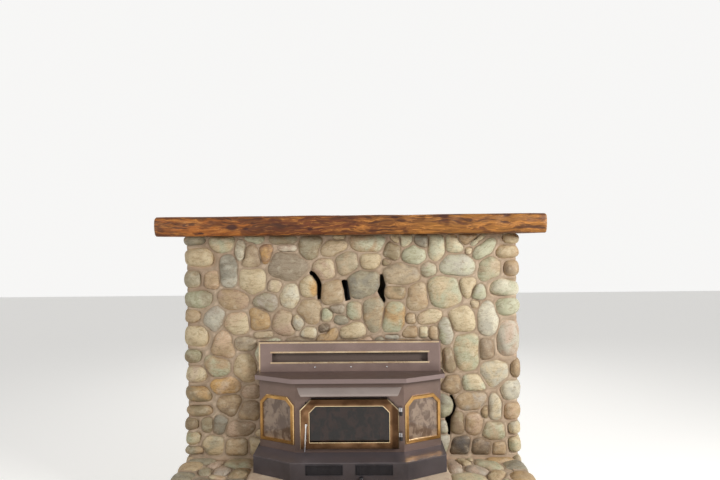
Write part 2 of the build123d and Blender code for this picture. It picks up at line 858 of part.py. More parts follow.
with BuildPart() as outlet_trim:
    with BuildSketch(stove_front(-panel_stand, z=outlet_z)):
        for side in (-1, 1):
            with Locations((0, side * (outlet_height + trim_width) / 2)):
                Rectangle(outlet_width + 2 * trim_width, trim_width)
    extrude(amount=trim_thick)
outlet_trim.part.label = "outlet_trim"
export_step(outlet_trim.part, "parts/outlet_trim.step")

# Deflector over the door: a folded strip with its ends cut back below

with BuildPart() as visor:
    foot = -body_front
    lip_y = foot - visor_reach
    visor_top = visor_bottom + visor_height
    end_origin = (insert_x - visor_width / 2, face_y, hearth_height)
    with BuildSketch(Plane(origin=end_origin, x_dir=(0, 1, 0), z_dir=(1, 0, 0))):
        with BuildLine():
            Polyline(
                (foot, visor_top),
                (lip_y, visor_bottom + visor_lip),
                (lip_y, visor_bottom),
                (lip_y + sheet, visor_bottom),
                (lip_y + sheet, visor_bottom + visor_lip - sheet / 2),
                (foot, visor_top - 2 * sheet),
                close=True,
            )
        make_face()
    extrude(amount=visor_width)
    with BuildSketch(stove_front(lip_y, z=visor_bottom)):
        for side in (-1, 1):
            with BuildLine():
                Polyline(
                    (side * visor_width / 2, 0),
                    (side * (visor_width / 2 - visor_taper), 0),
                    (side * visor_width / 2, visor_height),
                    close=True,
                )
            make_face()
    extrude(amount=-visor_reach, mode=Mode.SUBTRACT)
visor.part.label = "visor"
export_step(visor.part, "parts/visor.step")

# Door

opening_middle = (door_bottom_bar - door_top_bar) / 2
door_pane_width = door_width - 2 * door_side_bar
door_pane_height = door_height - door_top_bar - door_bottom_bar
door_clip_inside = clip_inside(door_clip, door_side_bar, door_top_bar)
door_back = -(body_front + door_gap)
trim_face = -(door_front + door_trim_thick)


def door_pane(y, grow):
    """Clear opening of the door on the plane at depth y, larger by grow on every side."""
    clip = door_clip_inside + grow * (2 - 2 ** 0.5)
    rim = clipped_outline(door_pane_width + 2 * grow, door_pane_height + 2 * grow, clip)
    with BuildSketch(stove_front(y, z=door_middle + opening_middle)) as pane:
        with BuildLine():
            Polyline(*rim, close=True)
        make_face()
    return pane.sketch


with BuildPart() as door_frame:
    with BuildSketch(stove_front(door_back, z=door_middle)):
        with BuildLine():
            Polyline(*clipped_outline(door_width, door_height, door_clip), close=True)
        make_face()
    extrude(amount=door_thick)
    extrude(door_pane(door_back, 0), amount=door_thick, mode=Mode.SUBTRACT)
    extrude(door_pane(door_back, glass_lap), amount=glass_thick, mode=Mode.SUBTRACT)
    with BuildSketch(stove_front(-door_front)):
        with Locations((handle_x, handle_z)):
            Circle(handle_shaft + handle_clear)
    extrude(amount=-handle_shaft_depth, mode=Mode.SUBTRACT)
door_frame.part.label = "door_frame"
export_step(door_frame.part, "parts/door_frame.step")

with BuildPart() as door_trim:
    with BuildSketch(stove_front(-door_front, z=door_middle)):
        with BuildLine():
            Polyline(*clipped_outline(door_width, door_height, door_clip), close=True)
        make_face()
    extrude(amount=door_trim_thick)
    chamfer(door_trim.faces().sort_by(Axis.Y)[0].edges(), door_trim_bevel)
    extrude(door_pane(-door_front, 0), amount=door_trim_thick + door_bead_stand)
    bead_hole = door_pane(-door_front, -door_bead_width)
    extrude(bead_hole, amount=door_trim_thick + door_bead_stand, mode=Mode.SUBTRACT)
    chamfer(door_trim.faces().sort_by(Axis.Y)[0].edges(), door_bead_edge)
    with BuildSketch(stove_front(-door_front)):
        with Locations((handle_x, handle_z)):
            Circle(handle_shaft + handle_clear)
    extrude(amount=door_trim_thick, mode=Mode.SUBTRACT)
door_trim.part.label = "door_trim"
export_step(door_trim.part, "parts/door_trim.step")

with BuildPart() as door_glass:
    extrude(door_pane(door_back, glass_lap - glass_clear), amount=glass_thick)
door_glass.part.label = "door_glass"
export_step(door_glass.part, "parts/door_glass.step")

# Lift-off hinges: each door knuckle stands on a fixed knuckle and turns on its pin


def hinge_plan(z):
    """Level plane on the hinge axis."""
    return Plane(origin=(insert_x + hinge_x, face_y - hinge_y, hearth_height + z))


with BuildPart() as hinge_pins:
    for height in hinge_heights:
        fixed_top = height - knuckle_gap
        with BuildSketch(hinge_plan(fixed_top)):
            Circle(knuckle_radius)
            with Locations((0, (hinge_y - body_front) / 2)):
                Rectangle(leaf_thick, hinge_y - body_front)
        extrude(amount=-knuckle_height)
        with BuildSketch(hinge_plan(fixed_top)):
            Circle(pin_radius)
        extrude(amount=knuckle_height)
hinge_pins.part.label = "hinge_pins"
export_step(hinge_pins.part, "parts/hinge_pins.step")

with BuildPart() as hinge_knuckles:
    leaf_run = hinge_x - door_width / 2
    for height in hinge_heights:
        with BuildSketch(hinge_plan(height)):
            Circle(knuckle_radius)
            with Locations((-leaf_run / 2, 0)):
                Rectangle(leaf_run, leaf_thick)
            Circle(pin_radius + pin_clear, mode=Mode.SUBTRACT)
        extrude(amount=knuckle_height)
hinge_knuckles.part.label = "hinge_knuckles"
export_step(hinge_knuckles.part, "parts/hinge_knuckles.step")

# Door handle: a shaft through the trim, a round boss and a grip that hangs from it

with BuildPart() as door_handle:
    boss_back = trim_face - knuckle_gap
    grip_y = boss_back - handle_stand + handle_radius
    with BuildSketch(stove_front(-door_front + handle_shaft_depth, handle_x, handle_z)):
        Circle(handle_shaft)
    extrude(amount=-boss_back - door_front + handle_shaft_depth)
    with BuildSketch(stove_front(boss_back, handle_x, handle_z)):
        Circle(handle_boss)
    extrude(amount=handle_boss_thick)
    grip_foot = handle_radius - handle_foot
    with BuildSketch(stove_front(grip_y, handle_x, handle_z)):
        with BuildLine():
            Polyline(
                (0, handle_radius),
                (0, -handle_length),
                (grip_foot, -handle_length),
                (handle_radius + handle_swell, -handle_length * 4 / 5),
                (handle_radius - handle_waist, -handle_length * 2 / 5),
                (handle_radius, 0),
                (handle_radius, handle_radius),
                close=True,
            )
        make_face()
    revolve(axis=Axis((insert_x + handle_x, face_y + grip_y, 0), (0, 0, 1)))
door_handle.part.label = "door_handle"
export_step(door_handle.part, "parts/door_handle.step")

# Air control: a knob on a rod that slides through the front of the base box

with BuildPart() as air_rod:
    knob_tip = knob_radius - knob_length * tan(radians(knob_taper))
    rod_origin = (insert_x + rod_x, face_y - base_front - knob_stand, hearth_height + rod_z)
    with BuildSketch(Plane(origin=rod_origin)):
        with BuildLine():
            Polyline(
                (0, rod_length),
                (0, -knob_length),
                (knob_tip - knob_edge, -knob_length),
                (knob_tip, -knob_length + knob_edge),
                (knob_radius, 0),
                (rod_radius, 0),
                (rod_radius, rod_length),
                close=True,
            )
        make_face()
    revolve(axis=Axis(rod_origin, (0, 1, 0)))
air_rod.part.label = "air_rod"
export_step(air_rod.part, "parts/air_rod.step")
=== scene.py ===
import math

import bmesh
import bpy
import numpy as np
from mathutils import Matrix, Vector


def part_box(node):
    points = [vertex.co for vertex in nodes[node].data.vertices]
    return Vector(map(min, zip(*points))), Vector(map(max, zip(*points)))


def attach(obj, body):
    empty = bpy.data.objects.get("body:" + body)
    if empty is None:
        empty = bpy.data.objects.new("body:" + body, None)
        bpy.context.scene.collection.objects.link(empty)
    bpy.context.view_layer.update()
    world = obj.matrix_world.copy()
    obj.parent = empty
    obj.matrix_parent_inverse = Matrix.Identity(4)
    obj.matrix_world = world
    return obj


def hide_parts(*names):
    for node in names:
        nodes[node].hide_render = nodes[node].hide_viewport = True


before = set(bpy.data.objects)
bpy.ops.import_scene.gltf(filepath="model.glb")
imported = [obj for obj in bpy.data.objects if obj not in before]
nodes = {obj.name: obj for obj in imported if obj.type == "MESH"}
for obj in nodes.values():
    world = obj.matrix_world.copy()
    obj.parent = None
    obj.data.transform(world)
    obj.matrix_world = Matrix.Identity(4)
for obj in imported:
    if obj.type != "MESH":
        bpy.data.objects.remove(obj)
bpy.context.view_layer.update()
print("frame loaded,", len(nodes), "nodes")

# Places on the stonework, read from the frame
breastLeft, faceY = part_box("left_pier")[0].xy
backY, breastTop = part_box("left_pier")[1].yz
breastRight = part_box("right_pier")[1].x
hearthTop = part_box("hearth_base")[1].z
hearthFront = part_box("hearth_base")[0].y
breastHeight = breastTop - hearthTop
millimetre = 0.001

# Camera, at the photograph's viewing angle
photoView = {
    "wide": 720,
    "tall": 480,
    "eye": Vector((0.1072, -3.1192, 1.7437)),
    "yaw": math.radians(0.86),
    "pitch": math.radians(-0.14),
    "roll": math.radians(-0.61),
    "focalPixels": 543.8,
    "sensor": 36.0,
}
pixelSize = (faceY - photoView["eye"].y) / photoView["focalPixels"]


def viewAxes():
    yaw, pitch, roll = photoView["yaw"], photoView["pitch"], photoView["roll"]
    ahead = Vector((-math.sin(yaw) * math.cos(pitch), math.cos(yaw) * math.cos(pitch), math.sin(pitch)))
    level = Vector((math.cos(yaw), math.sin(yaw), 0.0))
    right = level * math.cos(roll) + level.cross(ahead) * math.sin(roll)
    return right, right.cross(ahead), ahead


def onFace(across, down, depth=faceY):
    # where a point of the photograph lies on the stones' face, as (x, z) in metres
    right, up, ahead = viewAxes()
    across, down = across - photoView["wide"] / 2, down - photoView["tall"] / 2
    ray = right * across - up * down + ahead * photoView["focalPixels"]
    eye = photoView["eye"]
    hit = eye + ray * ((depth - eye.y) / ray.y)
    return hit.x, hit.z


def linked(name, data):
    made = bpy.data.objects.new(name, data)
    bpy.context.scene.collection.objects.link(made)
    return made


attributeKeys = {"FLOAT": "value", "FLOAT_VECTOR": "vector", "FLOAT_COLOR": "color"}


def meshPiece(name, points, faces, material, flatFaces=(), values=()):
    # a mesh object, smooth apart from some faces, with values on its points as (name, kind, numbers)
    mesh = bpy.data.meshes.new(name)
    mesh.from_pydata(np.asarray(points).tolist(), [], faces)
    for label, kind, numbers in values:
        layer = mesh.attributes.new(label, kind, "POINT")
        layer.data.foreach_set(attributeKeys[kind], np.asarray(numbers, np.float32).ravel())
    mesh.materials.append(material)
    smooth = np.ones(len(faces), bool)
    smooth[list(flatFaces)] = False
    mesh.polygons.foreach_set("use_smooth", smooth)
    mesh.update()
    return linked(name, mesh)


def skinFaces(count, rings):
    # faces over rings of points, with one point before the first ring and one after the last
    faces, last = [], 1 + rings * count
    for k in range(count):
        m = (k + 1) % count
        faces += [(0, 1 + k, 1 + m), (last, last - count + m, last - count + k)]
        for start in range(1, last - count, count):
            faces.append((start + k, start + count + k, start + count + m, start + m))
    return faces


def placeCamera():
    right, up, ahead = viewAxes()
    camera = linked("photoCamera", bpy.data.cameras.new("photoCamera"))
    camera.data.sensor_width = photoView["sensor"]
    camera.data.lens = photoView["focalPixels"] * photoView["sensor"] / photoView["wide"]
    camera.data.clip_end = 60.0
    turn = Matrix((right, up, -ahead)).transposed().to_4x4()
    camera.matrix_world = Matrix.Translation(photoView["eye"]) @ turn
    bpy.context.scene.camera = camera


placeCamera()
print("camera placed")


# Materials

def linear(hexColour):
    channels = [int(hexColour[i:i + 2], 16) / 255 for i in (1, 3, 5)]
    return [c / 12.92 if c <= 0.04045 else ((c + 0.055) / 1.055) ** 2.4 for c in channels] + [1.0]


def addNode(tree, kind, settings=None, **inputs):
    # inputs go by name, or by number as i0 and i1, and each takes a socket or a value
    node = tree.nodes.new(kind)
    for name, value in (settings or {}).items():
        setattr(node, name, value)
    for name, value in inputs.items():
        key = int(name[1:]) if name[0] == "i" and name[1:].isdigit() else name.replace("_", " ")
        if isinstance(value, bpy.types.NodeSocket):
            tree.links.new(value, node.inputs[key])
        else:
            node.inputs[key].default_value = value
    return node


def math2(tree, operation, first, second):
    return addNode(tree, "ShaderNodeMath", {"operation": operation}, i0=first, i1=second).outputs[0]


def newMaterial(name, **constants):
    material = bpy.data.materials.new(name)
    material.use_nodes = True
    shader = material.node_tree.nodes["Principled BSDF"]
    for key, value in constants.items():
        shader.inputs[key.replace("_", " ")].default_value = value
    return material, material.node_tree, shader


def mixColours(tree, share, first, second, blend="MIX"):
    first, second = (linear(colour) if isinstance(colour, str) else colour for colour in (first, second))
    settings = {"data_type": "RGBA", "blend_type": blend}
    return addNode(tree, "ShaderNodeMix", settings, i0=share, i6=first, i7=second).outputs[2]


def ramp(tree, value, low, high, outLow=0.0, outHigh=1.0):
    return addNode(tree, "ShaderNodeMapRange", {"interpolation_type": "SMOOTHSTEP"}, i0=value, i1=low, i2=high,
                   i3=outLow, i4=outHigh).outputs[0]


def tint(tree, colour, over, pattern, *span):
    # another colour over the first, by how far a pattern has gone from one level to the next
    return mixColours(tree, ramp(tree, pattern, *span), colour, over)


def stretched(tree, vector, scale):
    return addNode(tree, "ShaderNodeMapping", Vector=vector, Scale=scale).outputs[0]


def noiseAt(tree, vector, scale, detail=2.0, roughness=0.5, distortion=0.0):
    # noise at one scale, or at one for each direction
    if isinstance(scale, tuple):
        vector, scale = stretched(tree, vector, scale), 1.0
    return addNode(tree, "ShaderNodeTexNoise", Vector=vector, Scale=scale, Detail=detail, Roughness=roughness,
                   Distortion=distortion).outputs[0]


def objectPoint(tree):
    return addNode(tree, "ShaderNodeTexCoord").outputs["Object"]


def attribute(tree, name, output="Vector"):
    return addNode(tree, "ShaderNodeAttribute", {"attribute_name": name}).outputs[output]


def surface(tree, shader, colour, *bumps, rough=None):
    # joins the colour, the roughness and the bumps, coarse ones first, to the shader
    tree.links.new(colour, shader.inputs["Base Color"])
    if rough:
        tree.links.new(rough, shader.inputs["Roughness"])
    under = {}
    for height, distance, strength in bumps:
        bump = addNode(tree, "ShaderNodeBump", Height=height, Distance=distance, Strength=strength, **under)
        under = {"Normal": bump.outputs[0]}
    tree.links.new(under["Normal"], shader.inputs["Normal"])


def riverStoneMaterial():
    # water-worn cobble: soft mottled patches, fine crystals and a dry matte skin, darker at its edge with mortar
    # dust and painted shade
    material, tree, shader = newMaterial("waterWornCobble", IOR=1.54)
    place = attribute(tree, "grainPlace")
    patches = noiseAt(tree, place, 11.0, 3.0, 0.5, 0.5)  # patches about 90 mm across
    tones = attribute(tree, "toneOne", "Color"), attribute(tree, "toneTwo", "Color")
    colour = tint(tree, tones[0], tones[1], patches, 0.36, 0.64)
    layers = noiseAt(tree, stretched(tree, place, (1.0, 2.6, 1.6)), 24.0, 4.0, 0.6, 1.1)
    darker = mixColours(tree, 1.0, colour, "#bfae98", "MULTIPLY")
    colour = tint(tree, colour, darker, layers, 0.46, 0.68, 0.0, 0.6)
    paler = mixColours(tree, 0.5, colour, "#e2d7bd")
    colour = tint(tree, colour, paler, noiseAt(tree, place, 26.0, 3.0, 0.6), 0.52, 0.74, 0.0, 0.6)
    crystals = noiseAt(tree, place, 420.0, 2.0, 0.6)  # grains of 2 to 3 mm
    colour = tint(tree, colour, "#e9e1d0", crystals, 0.56, 0.68, 0.0, 0.22)
    pits = noiseAt(tree, place, 170.0, 4.0, 0.65)
    colour = tint(tree, colour, "#6b5d49", pits, 0.32, 0.46, 0.45, 0.0)
    # mortar dust and painted shade: the stone darkens towards its rim, where it meets the mortar
    dustAndShade = math2(tree, "MULTIPLY", ramp(tree, attribute(tree, "rimShare", "Fac"), 0.86, 1.0, 0.0, 0.7),
                 ramp(tree, noiseAt(tree, place, 60.0, 3.0), 0.35, 0.6, 0.35, 1.0))
    colour = mixColours(tree, dustAndShade, colour, "#8d7860")
    surface(tree, shader, colour, (noiseAt(tree, place, 60.0, 5.0, 0.6), 0.0032, 0.8), (crystals, 0.0004, 0.5),
            rough=ramp(tree, pits, 0.3, 0.7, 0.74, 0.5))
    return material


def mortarMaterial(name, sootAndShade):
    # sanded lime mortar, struck with a round jointer: warm beige, sandy, painted shade where it meets the stones,
    # and soot with painted shade, near black, inside the warm-air gaps
    material, tree, shader = newMaterial(name, Roughness=0.9, IOR=1.5)
    place = objectPoint(tree)
    colour = tint(tree, "#c2aa90", "#dac4aa", noiseAt(tree, place, 7.0, 4.0, 0.6), 0.36, 0.62)
    colour = tint(tree, colour, "#c2a48e", noiseAt(tree, place, 16.0, 2.0), 0.5, 0.68, 0.0, 0.5)
    # painted shade: the mortar darkens in a band just outside each stone's outline
    creviceShade = math2(tree, "MULTIPLY", attribute(tree, "creviceShadeShare", "Fac"), 0.5)
    colour = mixColours(tree, creviceShade, colour, "#77634d")
    sand = noiseAt(tree, place, 520.0, 2.0, 0.7)  # sand grains about 2 mm
    colour = tint(tree, colour, "#7d6b55", sand, 0.35, 0.5, 0.25, 0.0)
    # soot and painted shade: the faces inside the gaps go near black
    colour = mixColours(tree, sootAndShade, colour, "#14110f")
    surface(tree, shader, colour, (noiseAt(tree, place, 55.0, 3.0, 0.55), 0.003, 0.7), (sand, 0.0007, 0.7))
    return material


def pineMaterial():
    # stained pine log under thin satin varnish: stain that took unevenly along it, mottled grain, dark knots
    material, tree, shader = newMaterial("stainedPine", IOR=1.42, Coat_Weight=0.04, Coat_Roughness=0.4)
    place = attribute(tree, "grainPlace")
    across = addNode(tree, "ShaderNodeVectorMath", {"operation": "MULTIPLY"}, i0=place, i1=(0.0, 1.0, 1.0))
    fromPith = addNode(tree, "ShaderNodeVectorMath", {"operation": "DISTANCE"}, i0=across.outputs[0],
                       i1=(0.0, 0.37, -0.06))
    uneven = math2(tree, "MULTIPLY", noiseAt(tree, place, 22.0, 3.0, 0.6), 9.0)
    turns = math2(tree, "MULTIPLY", fromPith.outputs["Value"], 780.0)  # a ring each 8 mm
    rings = math2(tree, "SINE", math2(tree, "ADD", turns, uneven), 0.0)
    sawnEnd = tint(tree, "#c0935c", "#875529", rings, -0.1, 1.0)
    along = addNode(tree, "ShaderNodeSeparateXYZ", Vector=place).outputs["X"]
    along = math2(tree, "DIVIDE", along, mantelLength)
    wander = math2(tree, "SUBTRACT", noiseAt(tree, place, (5.0, 14.0, 14.0), 3.0, 0.6), 0.5)
    along = math2(tree, "ADD", along, math2(tree, "MULTIPLY", wander, 0.35))
    colour = tint(tree, "#b56a28", "#743e20", along, 0.2, 0.36)
    colour = tint(tree, colour, "#a06a2c", along, 0.42, 0.75)
    sway = addNode(tree, "ShaderNodeTexNoise", Vector=stretched(tree, place, (7.0, 12.0, 12.0)), Scale=1.0,
                   Detail=2.0)
    place = addNode(tree, "ShaderNodeVectorMath", {"operation": "MULTIPLY_ADD"}, i0=sway.outputs["Color"],
                    i1=(0.05, 0.045, 0.045), i2=place).outputs[0]
    grain = {}
    for name, scale, noise, over, span in (
        ("streaks", (6.0, 110.0, 110.0), (4.0, 0.6, 0.5), "#d08a41", (0.48, 0.6, 0.0, 0.85)),
        ("burnt", (6.0, 24.0, 24.0), (3.0, 0.55, 0.6), "#532711", (0.48, 0.62, 0.0, 0.75)),
        ("mottles", (5.0, 50.0, 50.0), (5.0, 0.6, 0.4), "#40200e", (0.46, 0.64, 0.0, 0.88)),
        ("bands", (4.0, 190.0, 190.0), (3.0, 0.6, 1.0), "#5a2c12", (0.36, 0.5, 0.5, 0.0)),  # about 5 mm
        ("fibres", (22.0, 620.0, 620.0), (3.0, 0.6), "#4c2410", (0.3, 0.55, 0.35, 0.0)),
    ):
        grain[name] = noiseAt(tree, place, scale, *noise)
        colour = tint(tree, colour, over, grain[name], *span)
    colour = tint(tree, colour, "#42200f", attribute(tree, "hollowShare", "Fac"), 0.2, 0.9, 0.0, 0.6)
    colour = tint(tree, colour, "#3b160b", attribute(tree, "knotShare", "Fac"), 0.25, 0.85, 0.0, 0.9)
    colour = mixColours(tree, attribute(tree, "sawnShare", "Fac"), colour, sawnEnd)
    surface(tree, shader, colour, (grain["mottles"], 0.004, 0.6), (grain["bands"], 0.002, 0.5),
            (grain["fibres"], 0.0006, 0.5), rough=ramp(tree, grain["bands"], 0.3, 0.7, 0.62, 0.45))
    return material


def paintMaterial(name, low, high, roughness, metallic, fleck, paintedShadeUnder=None, paintedLitBelow=None):
    # high-temperature metallic stove paint: fine pigment fleck, a little orange peel, painted shade under the shelf
    # and a painted highlight on the shelf's edge
    material, tree, shader = newMaterial(name, Metallic=metallic, IOR=1.5)
    place = objectPoint(tree)
    colour = tint(tree, low, high, noiseAt(tree, place, 3.5, 4.0, 0.6), 0.3, 0.7)
    flecks = noiseAt(tree, place, 900.0, 1.0, 0.5)  # pigment fleck about 1 mm, drawn coarser than it is
    colour = tint(tree, colour, "#c6b8aa", flecks, 0.55, 0.7, 0.0, fleck)
    height = addNode(tree, "ShaderNodeSeparateXYZ", Vector=place).outputs["Z"]
    if paintedShadeUnder:
        # painted shade: the paint darkens upwards towards the shelf above it
        span = paintedShadeUnder - 46 * millimetre, paintedShadeUnder - 6 * millimetre, 0.0, 0.62
        colour = tint(tree, colour, "#3c2c27", height, *span)
    if paintedLitBelow:
        # painted highlight: the shelf's front edge, below its top face, is painted lighter
        span = paintedLitBelow - 1.6 * millimetre, paintedLitBelow - 0.6 * millimetre, 1.0, 0.0
        colour = tint(tree, colour, "#8b7975", height, *span)
    wiped = noiseAt(tree, place, 14.0, 3.0, 0.6)
    surface(tree, shader, colour, (noiseAt(tree, place, 700.0, 2.0), 0.0002, 0.4),
            rough=ramp(tree, wiped, 0.3, 0.7, roughness - 0.04, roughness + 0.05))
    return material


def metalMaterial(name, low, high, roughness, brushed=None, beadAndHighlight=None, darkReflectionCorner=None, edgeBand=None):
    # bare or lacquered metal: smoky tarnish in soft clouds, long fine scratches where brushed, a polished bead
    # painted pale as a highlight, a painted highlight along the edge behind its face, and painted shade, a dark
    # reflection, towards its top and right
    material, tree, shader = newMaterial(name, Metallic=1.0)
    place = objectPoint(tree)
    spot = addNode(tree, "ShaderNodeSeparateXYZ", Vector=place).outputs
    tarnish = noiseAt(tree, place, 16.0, 3.0, 0.5)
    colour = tint(tree, low, high, tarnish, 0.3, 0.7)
    # a polished bead, painted pale as a highlight, on a thin plane of the trim's face
    if beadAndHighlight:
        face = addNode(tree, "ShaderNodeMath", {"operation": "COMPARE"}, i0=spot["Y"], i1=beadAndHighlight[0],
                       i2=0.3 * millimetre)
        colour = mixColours(tree, face.outputs[0], beadAndHighlight[1], colour)
    # painted highlight: a thin band along the edge behind the frame's face is painted bright
    if edgeBand:
        sides = [side for side in nodes[edgeBand].data.polygons if side.normal.y < -0.3]
        face = max(sides, key=lambda side: side.area)
        depth = addNode(tree, "ShaderNodeVectorMath", {"operation": "DOT_PRODUCT"}, i0=place,
                        i1=tuple(face.normal))
        edge = face.center.dot(face.normal)
        span = edge - 0.9 * millimetre, edge - 0.4 * millimetre, 0.85, 0.0
        colour = tint(tree, colour, "#e8c48c", depth.outputs["Value"], *span)
    # painted shade, standing in for the dark room that the trim reflects: darker towards its top and right
    if darkReflectionCorner:
        above = ramp(tree, spot["Z"], darkReflectionCorner.z - 44 * millimetre, darkReflectionCorner.z - 24 * millimetre)
        beyond = ramp(tree, spot["X"], darkReflectionCorner.x - 52 * millimetre, darkReflectionCorner.x - 30 * millimetre)
        dark = math2(tree, "MULTIPLY", math2(tree, "MAXIMUM", above, beyond), 0.72)
        colour = mixColours(tree, dark, colour, "#2e1c12")
    scratch = noiseAt(tree, stretched(tree, place, brushed or (60.0, 60.0, 60.0)), 12.0, 2.0)
    surface(tree, shader, colour, (scratch, 0.0001, 0.3 if brushed else 0.15),
            rough=ramp(tree, tarnish, 0.3, 0.7, roughness + 0.05, roughness - 0.03))
    return material


def glassMaterial(name, tinted, smoked, clear):
    # ceramic stove glass: brown smoke stain in drifts over it
    material, tree, shader = newMaterial(name, IOR=1.52, Roughness=0.07, Transmission_Weight=clear)
    smoke = noiseAt(tree, stretched(tree, objectPoint(tree), (1.0, 1.0, 0.7)), 26.0, 6.0, 0.65, 0.5)
    surface(tree, shader, tint(tree, tinted, smoked, smoke, 0.42, 0.6), (smoke, 0.0002, 0.2))
    return material


def mineralMaterial(name, roughness, low, high, clouds, bump, sooty=False):
    # fired or moulded matter: two tones in clouds, a fine grain, and soot in patches where it lines a fire
    material, tree, shader = newMaterial(name, Roughness=roughness, IOR=1.5)
    place = objectPoint(tree)
    colour = tint(tree, low, high, noiseAt(tree, place, *clouds), 0.35, 0.65)
    if sooty:
        colour = tint(tree, colour, "#2c2622", noiseAt(tree, place, 4.0, 3.0, 0.6), 0.4, 0.62, 0.0, 0.85)
    scale, distance, strength = bump
    surface(tree, shader, colour, (noiseAt(tree, place, scale, 3.0, 0.6), distance, strength))
    return material


def knobMaterial():
    # moulded phenolic knob: near black, satin, faint mould texture
    material, tree, shader = newMaterial("phenolicKnob", Roughness=0.4, IOR=1.55)
    place = objectPoint(tree)
    colour = mixColours(tree, noiseAt(tree, place, 60.0, 3.0), "#151214", "#262226")
    surface(tree, shader, colour, (noiseAt(tree, place, 900.0, 2.0), 0.0001, 0.4))
    return material


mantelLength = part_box("mantel_log")[1].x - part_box("mantel_log")[0].x
cobble = riverStoneMaterial()
mortar = mortarMaterial("sandedMortar", 0.0)
# soot and painted shade for the faces inside the gaps, near black
sootAndShadeMortar = mortarMaterial("sootAndShadeMortar", 0.93)
pine = pineMaterial()
panelPaint = paintMaterial("bronzeStovePaint", "#857069", "#968078", 0.38, 0.5, 0.25)
shelfBottom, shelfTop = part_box("top_shelf")[0].z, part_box("top_shelf")[1].z
bodyPaint = paintMaterial("bronzeBodyPaint", "#6f5c53", "#806a61", 0.4, 0.5, 0.25, paintedShadeUnder=shelfBottom)
# the shelf's paint is a darker copy of the body's, painted shade on its top, with a painted highlight on its edge
shelfPaint = paintMaterial("bronzeShelfPaint", "#63544f", "#715f59", 0.42, 0.5, 0.2, paintedLitBelow=shelfTop)
basePaint = paintMaterial("graphiteStovePaint", "#4b4548", "#595256", 0.42, 0.4, 0.15)
ledgePaint = paintMaterial("greyLedgePaint", "#5e585c", "#6e676c", 0.44, 0.5, 0.15)
# painted light: the visor's paint is a paler, less metallic copy of the stove paint, standing in for the light it
# catches
visorPaint = paintMaterial("paleLitVisorPaint", "#9d8f88", "#ac9e97", 0.5, 0.1, 0.2)
# painted shade: a darker copy of the stove paint inside the outlet duct
ductPaint = paintMaterial("shadedDuctPaint", "#584942", "#65554c", 0.6, 0.0, 0.1)
darkPaint = paintMaterial("blackStovePaint", "#242122", "#2c2829", 0.6, 0.0, 0.06)
grillePaint = paintMaterial("slottedGrillePaint", "#2f2c30", "#373438", 0.55, 0.1, 0.05)
# the window frames' bright edge band is a painted highlight
leftBrass = metalMaterial("polishedLeftBrass", "#9a7445", "#b68d56", 0.2, edgeBand="left_window_frame")
rightBrass = metalMaterial("polishedRightBrass", "#9a7445", "#b68d56", 0.2, edgeBand="right_window_frame")
paleBrass = metalMaterial("paleBrassTrim", "#c9ad8c", "#e0caa9", 0.26)
trimLow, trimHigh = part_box("door_trim")
# the door trim: painted shade, a dark reflection, at its top and right, and a pale painted highlight on its bead
bronze = metalMaterial("antiqueBronze", "#6b4e36", "#967253", 0.2, darkReflectionCorner=trimHigh,
                       beadAndHighlight=(trimLow.y + 1.5 * millimetre, "#f2d9ae"))
chrome = metalMaterial("satinChrome", "#c9c8ca", "#eceae8", 0.12)
hingeSteel = metalMaterial("brightHingeSteel", "#a3a2a6", "#c6c5c8", 0.25)
rolledSteel = metalMaterial("millScaleSteel", "#3a3634", "#544d49", 0.6)
flueSteel = metalMaterial("zincFlueSteel", "#7c7f82", "#9b9ea1", 0.42, brushed=(4.0, 4.0, 60.0))
doorGlass = glassMaterial("ceramicStoveGlass", "#140a07", "#36211a", 0.2)
# the side glass's pale colours are partly a painted reflection of the bright room, over a smoke stain
sideGlass = glassMaterial("smokedSideGlassPaintedReflection", "#7a6251", "#ad957f", 0.2)
# vermiculite brick is pale tan, pitted and sooty; the clay flue liner is terracotta, burnt darker in patches
fireBrick = mineralMaterial("fireBrick", 0.92, "#8a7158", "#b59a76", (11.0, 4.0, 0.65), (210.0, 0.0014, 0.8),
                            sooty=True)
clay = mineralMaterial("firedClay", 0.85, "#9c5f45", "#b97a5b", (18.0, 4.0, 0.6), (300.0, 0.0008, 0.6))
phenolic = knobMaterial()

for finish, names in (
    (basePaint, "base_box"), (ledgePaint, "ash_ledge"), (bodyPaint, "centre_plate left_facet right_facet"),
    (shelfPaint, "top_shelf"), (panelPaint, "surround_panel"), (visorPaint, "visor"),
    (ductPaint, "outlet_duct"), (darkPaint, "door_frame firebox_shell baffle hinge_pins"),
    (hingeSteel, "hinge_knuckles"), (paleBrass, "surround_trim outlet_trim"), (bronze, "door_trim"),
    (leftBrass, "left_window_frame"), (rightBrass, "right_window_frame"), (phenolic, "air_rod"),
    (doorGlass, "door_glass"), (sideGlass, "left_window_glass right_window_glass"),
    (rolledSteel, "steel_lintel"), (flueSteel, "flue_pipe"), (clay, "flue_thimble"), (mortar, "chamber_cap"),
):
    for name in names.split():
        for materialSlot in nodes[name].material_slots:
            materialSlot.material = finish
print("materials made")


